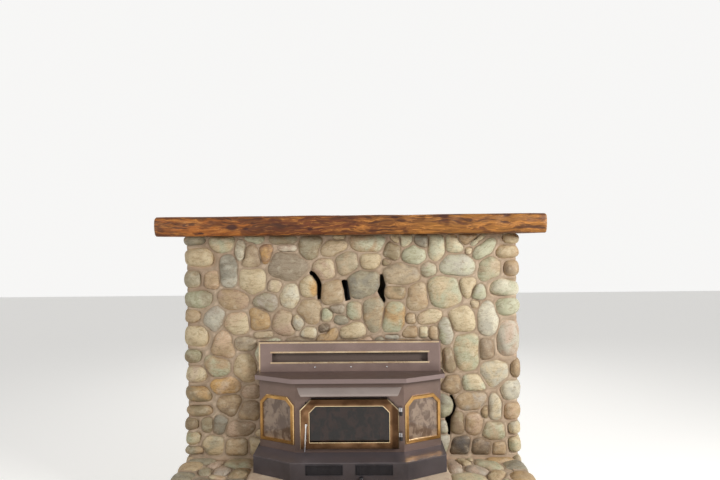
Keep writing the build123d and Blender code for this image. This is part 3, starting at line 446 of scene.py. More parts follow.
# Stones: each is a rounded outline on its wall, domed out of the mortar, or a whole rock at a corner
stoneLook = {
    "joint": 11 * millimetre,       # mortar between neighbours at its narrowest
    "recess": 27 * millimetre,      # mortar behind the stones' highest points
    "sink": 34 * millimetre,        # how far a stone goes back into its mortar
    "directions": 40,
    "outlineWobble": 0.016,
    "waves": (2, 3, 4, 6),          # how many times each wave of that wobble goes round
    "least": 0.25,                  # smallest radius, as a share of the stone's shorter half
    "grow": 1.5,                    # how far a stone may fill out where it has no neighbour
    "lump": 2.2 * millimetre,
    "fullness": 2.6,                # 2 is a ball, higher is flatter on top
    "fullnessSpread": (-0.4, 0.7),
    "crown": 0.62,                  # highest dome, as a share of the shorter half
    "setBack": (1.0, 4.5),          # how far a crown stays behind the wall's plane, in millimetres
    "lean": 0.035,
    "shoulder": 0.55,
    "domeShares": (0.22, 0.42, 0.58, 0.71, 0.81, 0.89, 0.95, 0.985, 1.0),
    "backRings": ((0.94, 0.5), (0.62, 0.9)),  # share of the outline, and of how far it sinks
    "rockTurn": (0.07, 0.05),
}
farAway = 9.0

tones = {
    "cream": "#d4c29e", "buff": "#cab590", "sand": "#c1ac8c", "tan": "#b79c78", "ochre": "#bd9b6b",
    "gold": "#cda263", "peach": "#ceb090", "rose": "#bda187", "pink": "#c4ac96", "rust": "#a48061",
    "brown": "#9c856a", "umber": "#76644f", "dark": "#514942", "olive": "#978565", "greyOlive": "#a89d82",
    "slate": "#8f8877", "greyBrown": "#a09079", "lilac": "#b5a897", "paleGreen": "#b8b697",
    "greenWhite": "#c7c5a8", "paleGrey": "#c1baa7", "white": "#dcd4bc",
}
anyTones = [
    "cream buff", "buff tan", "sand paleGreen", "cream peach", "tan brown", "greyOlive buff", "paleGreen cream",
    "pink sand", "paleGrey paleGreen", "lilac pink", "slate greyOlive", "ochre tan", "peach rose",
    "greyBrown slate", "greenWhite cream", "brown greyBrown", "buff greenWhite", "olive tan",
]


def anyLook(random):
    return anyTones[random.integers(len(anyTones))]


def wall(origin, across, up=(0, 0, 1)):
    across, up = Vector(across), Vector(up)
    return {"origin": Vector(origin), "across": across, "up": up, "out": across.cross(up)}


def toWorld(place, u, v, h):
    origin, across, up, out = (np.array(place[key]) for key in ("origin", "across", "up", "out"))
    return origin + np.outer(u, across) + np.outer(v, up) + np.outer(h, out)


def makeStone(u, v, halfWide, halfTall, tilt=0.0, taper=0.0, square=2.6, look="buff tan", rock=False):
    one, two = (tones[name] for name in look.split())
    return {
        "u": u, "v": v, "a": halfWide, "b": halfTall, "tilt": math.radians(tilt), "taper": taper,
        "square": square, "one": one, "two": two, "rock": rock,
    }


def turned(stone, u, v):
    cosine, sine = math.cos(stone["tilt"]), math.sin(stone["tilt"])
    return u * cosine + v * sine, -u * sine + v * cosine


def stoneReach(stone, du, dv):
    # 1 on the stone's own outline, less inside it
    x, y = turned(stone, du, dv)
    x, y = x / stone["a"], y / stone["b"]
    x = x / (1 + stone["taper"] * np.clip(y, -1.2, 1.2))
    power = stone["square"]
    return (np.abs(x) ** power + np.abs(y) ** power) ** (1 / power)


def insideRings(rings, u, v):
    inAny = np.zeros(np.shape(u), bool)
    for ring in rings:
        inside = np.zeros(np.shape(u), bool)
        for (u1, v1), (u2, v2) in zip(ring, ring[1:] + ring[:1]):
            if v1 != v2:
                crosses = (v1 > v) != (v2 > v)
                inside ^= crosses & (u < (u2 - u1) * (v - v1) / (v2 - v1) + u1)
        inAny |= inside
    return inAny


def firstMet(met, r, further, back=0):
    # how far out each direction first meets something, and far away where it never does
    return np.where(met.any(axis=1), r[np.maximum(np.argmax(met, axis=1) - back, 0)] + further, farAway)


def shapeOutlines(stones, low, high, holes, seed):
    # radius of each stone in every direction: its own shape, cut back to the joints with its neighbours
    random = np.random.default_rng(seed)
    count = stoneLook["directions"]
    angles = np.arange(count) * 2 * np.pi / count
    for stone in stones:
        biggest = max(stone["a"], stone["b"]) * (1 + abs(stone["taper"]) * 0.5)
        r = np.linspace(0.0, (stoneLook["grow"] + 0.4) * biggest, 100)
        u = stone["u"] + np.cos(angles)[:, None] * r
        v = stone["v"] + np.sin(angles)[:, None] * r
        own = stoneReach(stone, u - stone["u"], v - stone["v"])
        others = np.full(own.shape, farAway)
        for other in stones:
            apart = math.hypot(other["u"] - stone["u"], other["v"] - stone["v"])
            if other is not stone and apart < 2.0 * biggest + 1.8 * max(other["a"], other["b"]):
                others = np.minimum(others, stoneReach(other, u - other["u"], v - other["v"]))
        ownEnd = r[np.argmax(own >= stoneLook["grow"], axis=1)]
        joints = firstMet(own >= others, r, -stoneLook["joint"] / 2)
        edges = firstMet((u < low[0]) | (u > high[0]) | (v < low[1]) | (v > high[1]), r, 0.0, back=1)
        walls = np.minimum(edges, firstMet(insideRings(holes, u, v), r, 2 * millimetre))
        least = stoneLook["least"] * min(stone["a"], stone["b"])
        radius = np.clip(np.minimum(np.minimum(ownEnd, joints), walls), least, None)
        for _ in range(3):
            radius = (np.roll(radius, 1) + 2 * radius + np.roll(radius, -1)) / 4
        wobble = np.zeros(count)
        for wave in stoneLook["waves"]:
            wobble += random.normal(0, 1 / wave ** 0.5) * np.cos(wave * angles + random.uniform(0, 6.3))
        if not stone["rock"]:
            radius = radius * (1 + stoneLook["outlineWobble"] * wobble)
        stone["radius"] = np.maximum(np.minimum(radius, walls), least)
        stone["angles"] = angles


def nearestShare(stones, u, v):
    # for points on a wall, how far out each lies in the stone it is nearest to: 1 on that stone's outline
    share = np.full(u.shape, farAway)
    for stone in stones:
        du, dv = u - stone["u"], v - stone["v"]
        distance = np.hypot(du, dv)
        close = distance < 2.2 * stone["radius"].max() + 0.03
        turn = np.mod(np.arctan2(dv[close], du[close]), 2 * np.pi)
        ring = np.append(stone["radius"], stone["radius"][0])
        limit = np.interp(turn, np.append(stone["angles"], 2 * np.pi), ring)
        # past the outline, measured as a distance so that the mortar's rise is as wide round every stone
        past = (distance[close] - limit) / (40 * millimetre)
        value = np.where(past > 0, 1 + past, distance[close] / limit)
        share[close] = np.minimum(share[close], value)
    return share


class Heap:
    # vertices, faces and vertex values of many stones, joined into one mesh at the end
    def __init__(self):
        self.points, self.faces, self.values, self.total = [], [], [], 0

    def add(self, points, faces, stone, local, rim):
        self.points.append(points)
        self.faces += [tuple(index + self.total for index in face) for face in faces]
        one, two = (np.tile(linear(stone[key]), (len(points), 1)) for key in ("one", "two"))
        self.values.append((one, two, local, rim))
        self.total += len(points)

    def build(self, name):
        one, two, local, rim = (np.concatenate(part) for part in zip(*self.values))
        return meshPiece(name, np.concatenate(self.points), self.faces, cobble, values=(
            ("toneOne", "FLOAT_COLOR", one), ("toneTwo", "FLOAT_COLOR", two),
            ("grainPlace", "FLOAT_VECTOR", local), ("rimShare", "FLOAT", rim),
        ))


def lumps(random, points, amplitude, longest=0.16, shortest=0.05):
    total = np.zeros(len(points))
    for _ in range(7):
        direction = random.normal(size=3)
        direction *= 2 * np.pi / random.uniform(shortest, longest) / np.linalg.norm(direction)
        total += np.sin(points @ direction + random.uniform(0, 6.3))
    return total * amplitude / 2.6


def addDome(heap, stone, place, random):
    # a stone set in a wall: its crown reaches the wall's plane, its back goes into the mortar
    count, sink = len(stone["angles"]), stoneLook["sink"]
    crown = min(stoneLook["recess"] + 4 * millimetre, stoneLook["crown"] * min(stone["a"], stone["b"]))
    top = -random.uniform(*stoneLook["setBack"]) * millimetre - max(0.0, stoneLook["recess"] - crown) * 0.7
    fullness = stoneLook["fullness"] + random.uniform(*stoneLook["fullnessSpread"])
    lean, shoulder = random.normal(0, stoneLook["lean"], 2), stoneLook["shoulder"]
    # each ring's share of the outline, its height, and how near the rim it counts as
    rings = [(share, crown * (1 - share ** fullness) ** shoulder, share) for share in stoneLook["domeShares"]]
    rings += [(share, -sink * back, 1.0) for share, back in stoneLook["backRings"]]
    share, h, rim = (np.repeat(column, count) for column in zip(*rings))
    radius = share * np.tile(stone["radius"], len(rings))
    u, v = (radius * np.tile(turn(stone["angles"]), len(rings)) for turn in (np.cos, np.sin))
    ends = (0.0, 0.0), (0.0, 0.0), (crown, -sink), (0.0, 1.0)
    u, v, h, rim = (np.concatenate([[end[0]], part, [end[1]]]) for part, end in zip((u, v, h, rim), ends))
    local = np.stack([u, v, h], 1)
    front = np.clip(1 - rim, 0, 1) ** 0.5
    h = h + front * (lumps(random, local, stoneLook["lump"]) + lean[0] * u + lean[1] * v)
    h = np.minimum(top - crown + h, 0.0)
    points = toWorld(place, stone["u"] + u, stone["v"] + v, h)
    points[:, 1] = np.minimum(points[:, 1], backY)
    points[:, 2] = np.maximum(points[:, 2], 0.0)
    grain = np.stack([*turned(stone, u, v), h], 1) + random.uniform(-30, 30, 3)
    heap.add(points, skinFaces(count, len(rings)), stone, grain, rim)


def cubeSphere(cells):
    # directions on a ball, from a cube's six faces, with the faces that join them
    steps = np.tan(np.linspace(-np.pi / 4, np.pi / 4, cells + 1))
    index, faces = {}, []
    for axis in range(3):
        for side in (-1, 1):
            for i in range(cells):
                for j in range(cells):
                    quad = []
                    for p, q in ((i, j), (i + 1, j), (i + 1, j + 1), (i, j + 1)):
                        spot = np.roll([side, steps[p], steps[q]], axis)
                        quad.append(index.setdefault(tuple(np.round(spot, 6)), (len(index), spot))[0])
                    faces.append(tuple(quad[::side]))
    points = np.array([spot for _, spot in index.values()])
    return points / np.linalg.norm(points, axis=1)[:, None], faces


ballDirections, ballFaces = cubeSphere(9)


def addRock(heap, centre, halves, stone, random, power=2.6):
    # a whole cobble that shows on two or three sides of a corner
    turns = [Matrix.Rotation(random.normal(0, turn), 3, axis)
             for turn, axis in zip(stoneLook["rockTurn"], "YX")]
    centre, halves = np.array(centre), np.array(halves)
    radius = (np.abs(ballDirections / halves) ** power).sum(axis=1) ** (-1 / power)
    local = ballDirections * radius[:, None]
    shift = lumps(random, local, stoneLook["lump"] * 1.5) - stoneLook["lump"]
    local = (local + ballDirections * shift[:, None]) @ np.array(turns[0] @ turns[1]).T
    local *= np.minimum(1.0, halves / np.abs(local).max(axis=0))
    local[:, 2] = np.maximum(local[:, 2], -centre[2])
    rim = np.clip(np.abs(local[:, 2]) / halves[2], 0, 1) * 0.9
    heap.add(local + centre, ballFaces, stone, local + random.uniform(-30, 30, 3), rim)


packLook = {
    "step": 11 * millimetre,
    "rounds": 7,                            # of settling
    "fewest": 9,                            # smallest cell that makes a stone, in grid points
    "sizes": [0.62, 0.85, 1.0, 1.2],        # shares of the typical size
    "squares": (2.2, 3.0),
    "lean": 12,
    "largest": 0.8,
    "narrowest": 0.45,
    "reach": 1.86,                          # a stone's half, in spreads of its cell
}


def packStones(fixed, low, high, holes, typical, seed, clearance=1.12, smallest=16 * millimetre):
    # fills what is left of a wall: cells grow round seeds, and each seed takes its cell's middle, size and lean
    random, step = np.random.default_rng(seed), packLook["step"]
    u, v = np.meshgrid(*(np.arange(low[axis] + step / 2, high[axis], step) for axis in (0, 1)))
    u, v = u.ravel(), v.ravel()
    taken = np.full(len(u), farAway)
    for stone in fixed:
        taken = np.minimum(taken, stoneReach(stone, u - stone["u"], v - stone["v"]))
    free = (taken > clearance) & ~insideRings(holes, u, v)
    u, v = u[free], v[free]
    if not len(u):
        return []
    seeds = []
    for index in random.permutation(len(u)):
        near = typical * random.choice(packLook["sizes"])
        if all(math.hypot(u[index] - s[0], v[index] - s[1]) > (near + s[2]) / 2 for s in seeds):
            seeds.append((u[index], v[index], near))
    stones = [
        makeStone(u1, v1, near * 0.55, near * 0.45, random.normal(0, packLook["lean"]), 0.0,
                  random.uniform(*packLook["squares"]))
        for u1, v1, near in seeds
    ]
    for _ in range(packLook["rounds"]):
        owner = np.argmin([stoneReach(s, u - s["u"], v - s["v"]) for s in stones], axis=0)
        cells = [(stone, owner == number) for number, stone in enumerate(stones)]
        stones = []
        for stone, cell in cells:
            if cell.sum() < packLook["fewest"]:
                continue
            sizes, axes = np.linalg.eigh(np.cov(np.stack([u[cell], v[cell]])))
            halves = packLook["reach"] * np.sqrt(np.maximum(sizes, 1e-6))
            short, long = np.minimum(halves, packLook["largest"] * typical)
            stone.update(u=u[cell].mean(), v=v[cell].mean(), a=long, b=max(short, packLook["narrowest"] * long),
                         tilt=math.atan2(axes[1, 1], axes[0, 1]))
            stones.append(stone)
    made = []
    for stone in stones:
        room = np.hypot(u - stone["u"], v - stone["v"]).min()
        if min(stone["a"], stone["b"]) >= smallest and room <= step:
            one, two = anyLook(random).split()
            stone.update(one=tones[one], two=tones[two])
            made.append(stone)
    return made


mortarLook = {
    "lump": 2.2 * millimetre, "longest": 0.3, "shortest": 0.07,         # how unevenly it is struck
    "rise": 4 * millimetre, "riseAt": 1.05, "riseWide": 0.3,            # where it climbs to a stone
    "dip": 26 * millimetre, "dipFrom": 0.93, "dipWide": 0.25,           # behind a stone
    "brink": 7 * millimetre,                                            # round an opening
    "pad": 1 * millimetre,                                              # under something that stands on it
    # where the painted shade round each stone lies, and how wide it is
    "creviceShadeAt": 1.03, "creviceShadeWide": 0.16,
    "step": 14 * millimetre, "rounding": 30 * millimetre, "thickness": 100 * millimetre,
}


def snapToRing(ring, rim, u, v, reach):
    # moves the grid's points on the rim of a hole to the nearest place on the hole's own outline
    ends = np.array(ring)
    run = np.roll(ends, -1, axis=0) - ends
    for index in np.nonzero(rim)[0]:
        here = np.array([u[index], v[index]])
        share = np.clip(((here - ends) * run).sum(1) / np.maximum((run ** 2).sum(1), 1e-12), 0, 1)
        spots = ends + run * share[:, None]
        distance = np.hypot(*(spots - here).T)
        if distance.min() < reach:
            u[index], v[index] = spots[distance.argmin()]


def mortarBed(name, place, low, high, stones, cutEdges, recess=30 * millimetre, holes=(), pads=(), sootAndShade=False,
              **own):
    # the mortar of one wall: a struck face that rises a little to every stone, its openings, and a flat back
    look = {**mortarLook, **own}
    step, rounding, thickness = look["step"], look["rounding"], look["thickness"]
    cells = [max(2, int(round((high[axis] - low[axis]) / step))) for axis in (0, 1)]
    u, v = np.meshgrid(*(np.linspace(low[axis], high[axis], cells[axis] + 1) for axis in (0, 1)))
    u, v = u.ravel(), v.ravel()
    keys = np.arange(len(u)).reshape(cells[1] + 1, cells[0] + 1)
    quads = np.stack([keys[:-1, :-1], keys[:-1, 1:], keys[1:, 1:], keys[1:, :-1]], -1).reshape(-1, 4)
    gone = insideRings(holes, u[quads].mean(axis=1), v[quads].mean(axis=1))
    rim = np.isin(np.arange(len(u)), quads[gone]) & np.isin(np.arange(len(u)), quads[~gone])
    for ring in holes:
        snapToRing(ring, rim, u, v, 1.2 * step)
    quads = quads[~gone]
    share = nearestShare(stones, u, v)
    flat = np.stack([u, v, 0 * u], 1)
    random = np.random.default_rng(len(u))
    h = -recess + lumps(random, flat, look["lump"], look["longest"], look["shortest"])
    h += look["rise"] * np.exp(-((share - look["riseAt"]) / look["riseWide"]) ** 2)
    # only the front wall's mortar dips behind its corner rocks too
    under = share if sootAndShade else nearestShare([stone for stone in stones if not stone["rock"]], u, v)
    h -= look["dip"] * np.clip((look["dipFrom"] - under) / look["dipWide"], 0, 1)
    h[rim] -= look["brink"]
    h = np.where(insideRings(pads, u, v), -look["pad"], h)
    for side, distance in (("l", u - low[0]), ("r", high[0] - u), ("b", v - low[1]), ("t", high[1] - v)):
        if side in cutEdges:
            d = np.clip(distance / rounding, 0, 1)
            h -= rounding * (1 - np.sqrt(np.maximum(0.0, 1 - (1 - d) ** 2)))
    h = np.clip(h, -thickness + 4 * millimetre, 0.0)
    front, back = toWorld(place, u, v, h), toWorld(place, u, v, np.full(len(u), -thickness))
    quads, size = quads.tolist(), len(u)
    edges = {edge: True for quad in quads for edge in zip(quad, quad[1:] + quad[:1])}
    faces = quads + [[i + size for i in quad[::-1]] for quad in quads]
    inner = [0] * len(faces)
    for first, second in edges:
        if (second, first) not in edges:
            faces.append((second, first, first + size, second + size))
            ends = [max(abs(spot[first] - end), abs(spot[second] - end))
                    for axis, spot in enumerate((u, v)) for end in (low[axis], high[axis])]
            inner.append(int(min(ends) > 1e-6))
    used = sorted({i for face in faces for i in face})
    renumber = {old: new for new, old in enumerate(used)}
    # how much painted shade each point of the mortar takes, most just outside a stone's outline
    creviceShade = np.tile(np.exp(-((share - look["creviceShadeAt"]) / look["creviceShadeWide"]) ** 2), 2)[used]
    faces = [[renumber[i] for i in face] for face in faces]
    bed = meshPiece(name, np.concatenate([front, back])[used], faces, mortar, range(len(quads), len(faces)),
                    [("creviceShadeShare", "FLOAT", creviceShade)])
    # the faces inside the openings take the near-black mortar, soot with painted shade
    if sootAndShade:
        bed.data.materials.append(sootAndShadeMortar)
        bed.data.polygons.foreach_set("material_index", inner)
    return bed


frontWall = wall((0, faceY, hearthTop), (1, 0, 0))
backWall = wall((0, backY, hearthTop), (-1, 0, 0))
# each side's name, its edge, and which way is inward from it
sides = (("left", breastLeft, 1), ("right", breastRight, -1))

# Front stones, each read from the photograph
frontStones = []


def seen(across, down, wide, tall, look, tilt=0.0, taper=0.0, square=2.6):
    # its middle, width and height in the photograph, its two tones, then its lean and shape
    x, z = onFace(across, down)
    halves = wide / 2 * pixelSize, tall / 2 * pixelSize
    frontStones.append(makeStone(x, z - hearthTop, *halves, tilt, taper, square, look))


# upper left
seen(220, 241, 26, 23, "buff paleGreen")
seen(210, 280.5, 14, 17, "peach tan", square=3.2)
seen(228, 271, 15, 31, "slate paleGrey", tilt=4, square=4.0)
seen(240, 251, 12, 20, "white greyOlive")
seen(250, 257, 17, 25, "brown sand", tilt=12, taper=-0.25)
seen(252, 281, 26, 27, "cream buff")
seen(254, 238.5, 20, 9, "greenWhite paleGreen", tilt=-10)
seen(265, 254, 11, 20, "gold rust")
seen(282, 239.5, 30, 7, "olive greyOlive")
seen(288, 248.5, 18, 6, "white pink")
seen(286.7, 267, 38.7, 25.5, "greyBrown greyBrown", square=2.2)
seen(309, 248, 20, 23, "olive greyOlive")
seen(334, 249, 31, 13, "buff sand", tilt=18, taper=0.2)
seen(340, 237, 10, 6, "cream buff")
seen(323.5, 270, 22, 23, "rose cream")
seen(308, 287, 17, 22, "gold cream", tilt=-14)
seen(290, 297, 19, 24, "cream white", square=2.3)
seen(274, 286, 14, 13, "pink cream")
seen(331, 294, 20, 27, "sand tan", taper=0.15)
seen(347, 262, 23, 23, "sand greyOlive")
seen(366, 243, 35, 19, "tan greenWhite")
seen(369, 262, 19, 18, "buff cream", taper=0.3)
seen(363.5, 285, 28, 28, "slate greyOlive", square=3.4, tilt=-3)
# upper right
seen(391.5, 251, 15, 17, "olive greyOlive")
seen(387, 262, 8, 8, "olive brown")
seen(395.5, 239, 7, 10, "cream buff", tilt=20)
seen(406, 240, 9, 13, "cream greenWhite", tilt=-12)
seen(415, 256, 20, 18, "paleGreen greenWhite")
seen(402, 275, 34, 20, "greyBrown sand")
seen(396, 293, 22, 13, "tan olive")
seen(417, 297, 20, 28, "tan sand", taper=-0.15)
seen(423, 241, 12, 13, "greyBrown slate", square=3.2)
seen(437, 248, 15, 29, "cream greenWhite", square=3.6)
seen(455, 243, 16, 20, "cream greenWhite", square=3.2)
seen(429, 269, 17, 14, "pink paleGreen")
seen(457, 265.5, 38, 21, "greenWhite paleGrey", square=2.3)
seen(478, 239.5, 20, 7, "cream greenWhite", tilt=35)
seen(484, 250.5, 26, 13, "greenWhite paleGreen", tilt=36)
seen(469.5, 251, 7, 8, "pink cream")
seen(490.5, 269, 23, 23, "sand paleGreen")
seen(446, 292, 30, 32, "buff paleGreen")
seen(467.5, 288, 14, 20, "cream buff", taper=0.45)
seen(480, 293, 13, 15, "paleGreen paleGrey")
seen(476, 305, 9, 9, "cream sand")
# band over the stove
seen(265, 303, 22, 19, "lilac greyOlive", tilt=-14)
seen(284, 324, 20, 25, "rose sand", square=3.2)
seen(309, 312, 27, 23, "sand tan", tilt=-20, square=2.2)
seen(297, 322, 14, 16, "paleGrey cream", tilt=-24)
seen(326, 315, 12, 14, "cream paleGreen")
seen(336, 309, 16, 9, "lilac greyBrown", tilt=-16)
seen(309, 334, 15, 12, "cream white")
seen(325, 330, 13, 11, "umber brown")
seen(341, 321, 14, 10, "greyOlive slate", tilt=-12)
seen(264, 336, 19, 8, "paleGreen sand")
seen(352, 332, 24, 15, "cream buff", tilt=8)
seen(355, 311, 14, 17, "sand paleGreen", tilt=-14)
seen(374, 314, 20, 38, "tan greyOlive", taper=0.42, square=2.2)
seen(394.5, 318, 22, 30, "ochre paleGreen", square=3.0)
seen(411, 319, 11, 11, "sand tan")
seen(430, 317, 25, 13, "peach cream", tilt=12)
seen(392, 338, 16, 5, "paleGrey slate")
seen(410, 333, 16, 12, "tan sand")
seen(424, 333, 9, 12, "greenWhite cream")
seen(434, 334, 9, 13, "sand tan")
# right of the stove
seen(490, 320, 22, 34, "white paleGrey", tilt=14)
seen(462, 320, 27, 25, "cream buff")
seen(447, 331, 14, 28, "paleGreen paleGrey")
seen(487.5, 350, 15, 22, "greyBrown brown", square=3.2)
seen(467, 352, 25, 34, "buff paleGreen", square=3.0)
seen(449, 360, 14, 24, "olive brown", tilt=18)
seen(496, 373, 28, 24, "paleGrey cream")
seen(474, 384, 22, 16, "greenWhite cream")
seen(453, 386, 17, 18, "tan brown")
seen(472, 403, 30, 18, "tan lilac")
seen(445.5, 407, 16, 21, "paleGreen slate", square=2.2)
seen(444, 429, 9, 13, "paleGrey greenWhite")
seen(458.5, 424, 13, 23, "olive brown")
seen(474, 423, 18, 20, "rose tan")
seen(485.5, 412, 8, 13, "olive tan")
seen(496, 409, 13, 24, "paleGrey cream")
seen(495, 432, 19, 17, "sand paleGreen")
seen(460, 447, 22, 17, "umber dark")
seen(482, 449, 20, 14, "umber brown")
seen(500, 450, 14, 13, "tan greyBrown")
# left of the stove
seen(232, 301, 28, 20, "tan rose", taper=0.25)
seen(213, 319, 20, 24, "lilac paleGrey", tilt=-30, square=3.2)
seen(235, 323, 24, 20, "cream peach")
seen(259, 319, 18, 22, "ochre tan", square=3.2)
seen(222, 345, 18, 30, "tan peach", taper=-0.4)
seen(246, 345, 24, 12, "greyBrown sand")
seen(215.5, 366.5, 25, 20, "paleGreen tan")
seen(245, 370, 21, 28, "tan buff")
seen(224, 387, 36, 15, "peach gold", tilt=10)
seen(228, 405.5, 23, 18, "brown tan")
seen(251, 392, 18, 13, "rose brown")
seen(249, 413, 20, 18, "brown tan")
seen(206, 424, 11, 15, "greyOlive olive")
seen(219, 425, 12, 18, "slate greyBrown")
seen(240, 430, 28, 13, "rose brown", tilt=10)
seen(212, 447, 22, 15, "buff greyOlive")
seen(236, 448, 22, 14, "tan sand")
seen(256, 447, 14, 16, "greyBrown buff")
print(len(frontStones), "front stones placed")

# Whole cobbles up the two front corners of the breast, as the photograph shows them. Each row is where the
# inner end shows, across and down, its height, and its tones. Its outer end is the breast's own edge.
cornerLook = {
    "depth": 86 * millimetre, "depthSpread": 16 * millimetre, "square": 2.5, "overlap": 1.1,
    "backTall": (0.09, 0.15), "backLeast": 0.05, "backOverlap": 1.02, "backWide": (0.075, 0.11),
    "backDeep": (0.07, 0.1), "seeds": {"left": 21, "right": 22},
}
cornerRows = {
    "left": (
        (206.5, 240.5, 12, "greyOlive slate"), (214, 257.5, 21.5, "cream buff"),
        (201, 279.5, 19, "greyOlive sand"), (212.5, 300, 19, "greyOlive paleGreen"),
        (200.5, 317, 15, "sand tan"), (208.5, 337, 22.5, "cream buff"), (201, 357, 16, "paleGreen olive"),
        (207.5, 376, 19, "cream pink"), (213.5, 395.5, 19, "ochre olive"), (214, 412, 12.5, "olive tan"),
        (198, 426, 13, "brown olive"), (200, 440.5, 14, "buff paleGreen"), (204, 452, 9, "tan greyOlive"),
    ),
    "right": (
        (504, 238.5, 11, "cream buff"), (495.5, 252, 15, "cream tan"), (503, 268.5, 17, "tan brown"),
        (489.5, 288, 19, "paleGreen white"), (494.5, 307.5, 20, "paleGreen greenWhite"),
        (496, 338.5, 41, "pink paleGrey"), (511, 370, 20, "tan brown"), (501, 391.5, 22, "paleGrey white"),
        (504, 412.5, 19, "tan peach"), (508.5, 429.5, 14.5, "cream paleGrey"),
        (509, 446.5, 18, "cream paleGreen"),
    ),
}
cornerStones = {"left": [], "right": []}
for side, edge, inward in sides:
    for inner, down, tall, look in cornerRows[side]:
        x, z = onFace(inner, down)
        cornerStones[side].append(makeStone(
            (x + edge) / 2, z - hearthTop, abs(x - edge) / 2, tall / 2 * pixelSize * cornerLook["overlap"],
            square=cornerLook["square"], look=look, rock=True,
        ))


def stackBackCorner(seed):
    # sizes of the whole cobbles up a back corner, as (middle, half height, half width, half depth)
    random = np.random.default_rng(seed)
    stack, level, least = [], 0.0, cornerLook["backLeast"]
    while level < breastHeight - 0.03:
        tall = min(random.uniform(*cornerLook["backTall"]), breastHeight - level)
        if breastHeight - level - tall < least:
            tall = breastHeight - level
        stack.append((level + tall / 2, tall / 2 * cornerLook["backOverlap"],
                      random.uniform(*cornerLook["backWide"]), random.uniform(*cornerLook["backDeep"])))
        level += tall
    return stack


# Openings between the stones, as rings in the photograph: the three vents and the gap for cool air
openingRings = (
    ((316.9, 300.2), (320.8, 299.8), (321.3, 291.0), (321.4, 284.3), (318.8, 278.0), (315.0, 273.0),
     (310.8, 270.8), (308.0, 273.0), (312.0, 277.6), (315.1, 282.0), (316.2, 286.0), (316.2, 292.0)),
    ((345.1, 301.8), (350.3, 300.2), (349.4, 290.0), (347.5, 280.8), (342.8, 279.8), (340.7, 282.2),
     (343.3, 291.0)),
    ((384.1, 304.6), (386.0, 300.6), (384.4, 296.4), (384.8, 290.0), (386.2, 285.4), (384.6, 281.0),
     (384.2, 275.6), (380.4, 273.2), (379.5, 279.0), (379.7, 286.0), (377.0, 290.6), (378.9, 295.6),
     (381.4, 299.8)),
    ((450.6, 395.2), (452.6, 396.0), (454.6, 400.3), (456.8, 404.6), (456.8, 408.4), (455.6, 412.4),
     (453.8, 416.4), (452.0, 420.0), (451.8, 424.0), (451.4, 430.0), (450.8, 436.5), (448.4, 436.5),
     (448.4, 431.0), (447.4, 425.0), (445.4, 419.4), (446.4, 417.8), (450.2, 417.0), (452.6, 413.8),
     (453.8, 409.6), (453.9, 405.6), (452.2, 401.0), (450.0, 397.3)),
)


def oblong(left, right, low, high):
    return [(left, low), (right, low), (right, high), (left, high)]


frontHoles = []
for ring in openingRings:
    spots = [onFace(across, down) for across, down in ring]
    frontHoles.append([(x, z - hearthTop) for x, z in spots])
frontHoles.append(oblong(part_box("left_jamb")[1].x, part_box("right_jamb")[0].x, -0.1,
                         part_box("steel_lintel")[0].z - hearthTop))

# front wall; each wall that is filled has the stones' typical size across, and its own seed
fillLook = {
    "front": {"typical": 0.115, "seed": 5, "clearance": 1.45, "smallest": 24 * millimetre},
    "left": {"typical": 0.125, "seed": 51}, "right": {"typical": 0.125, "seed": 52},
    "back": {"typical": 0.14, "seed": 61},
}
frontSeed, backSeed = 11, 62
fixedFront = frontStones + cornerStones["left"] + cornerStones["right"]
shownFill = packStones(fixedFront, (breastLeft + 0.02, 0.01), (breastRight - 0.02, breastHeight - 0.01),
                       frontHoles, **fillLook["front"])
frontAll = fixedFront + shownFill
shapeOutlines(frontAll, (breastLeft, 0.0), (breastRight, breastHeight), frontHoles, frontSeed)
print("front wall packed,", len(shownFill), "stones added")

heap = Heap()
stoneTurn = np.random.default_rng(3)
for stone in frontAll:
    if not stone["rock"]:
        addDome(heap, stone, frontWall, stoneTurn)
stonework = [heap.build("front_cobbles")]

# corner cobbles, and the same cobbles as they show on the side walls, whose across runs along y
sideRocks = {"left": [], "right": []}
backRocks = []
heap = Heap()
for side, edge, inward in sides:
    for stone in cornerStones[side]:
        depth = cornerLook["depth"] + stoneTurn.uniform(-1, 1) * cornerLook["depthSpread"]
        depth = min(depth, 1.6 * stone["b"] + 0.02)
        centre = (stone["u"], faceY + depth, hearthTop + stone["v"])
        addRock(heap, centre, (stone["a"], depth, stone["b"]), stone, stoneTurn)
        sideRocks[side].append(makeStone(-inward * centre[1], stone["v"], depth, stone["b"], rock=True))
    for middle, halfTall, halfWide, halfDeep in stackBackCorner(cornerLook["seeds"][side]):
        x, y = edge + inward * halfWide, backY - halfDeep
        stone = makeStone(-x, middle, halfWide, halfTall, look=anyLook(stoneTurn), rock=True)
        addRock(heap, (x, y, hearthTop + middle), (halfWide, halfDeep, halfTall), stone, stoneTurn)
        sideRocks[side].append(makeStone(-inward * y, middle, halfDeep, halfTall, rock=True))
        backRocks.append(stone)
stonework.append(heap.build("corner_cobbles"))

# side and back walls
sideWalls, sideStones = {}, {}


def flankSpan(inward, near, inset=0.0):
    # the two ends of a side wall on its own across, held in from the wall's edges
    return sorted((-inward * (near + inset), -inward * (backY - inset)))


heap = Heap()
for side, edge, inward in sides:
    sideWalls[side] = wall((edge, 0, hearthTop), (0, -inward, 0))
    near, far = flankSpan(inward, faceY)
    low, high = (near, 0.0), (far, breastHeight)
    fill = packStones(sideRocks[side], low, high, [], **fillLook[side])
    sideStones[side] = sideRocks[side] + fill
    shapeOutlines(sideStones[side], low, high, [], fillLook[side]["seed"])
    for stone in fill:
        addDome(heap, stone, sideWalls[side], stoneTurn)
stonework.append(heap.build("side_cobbles"))

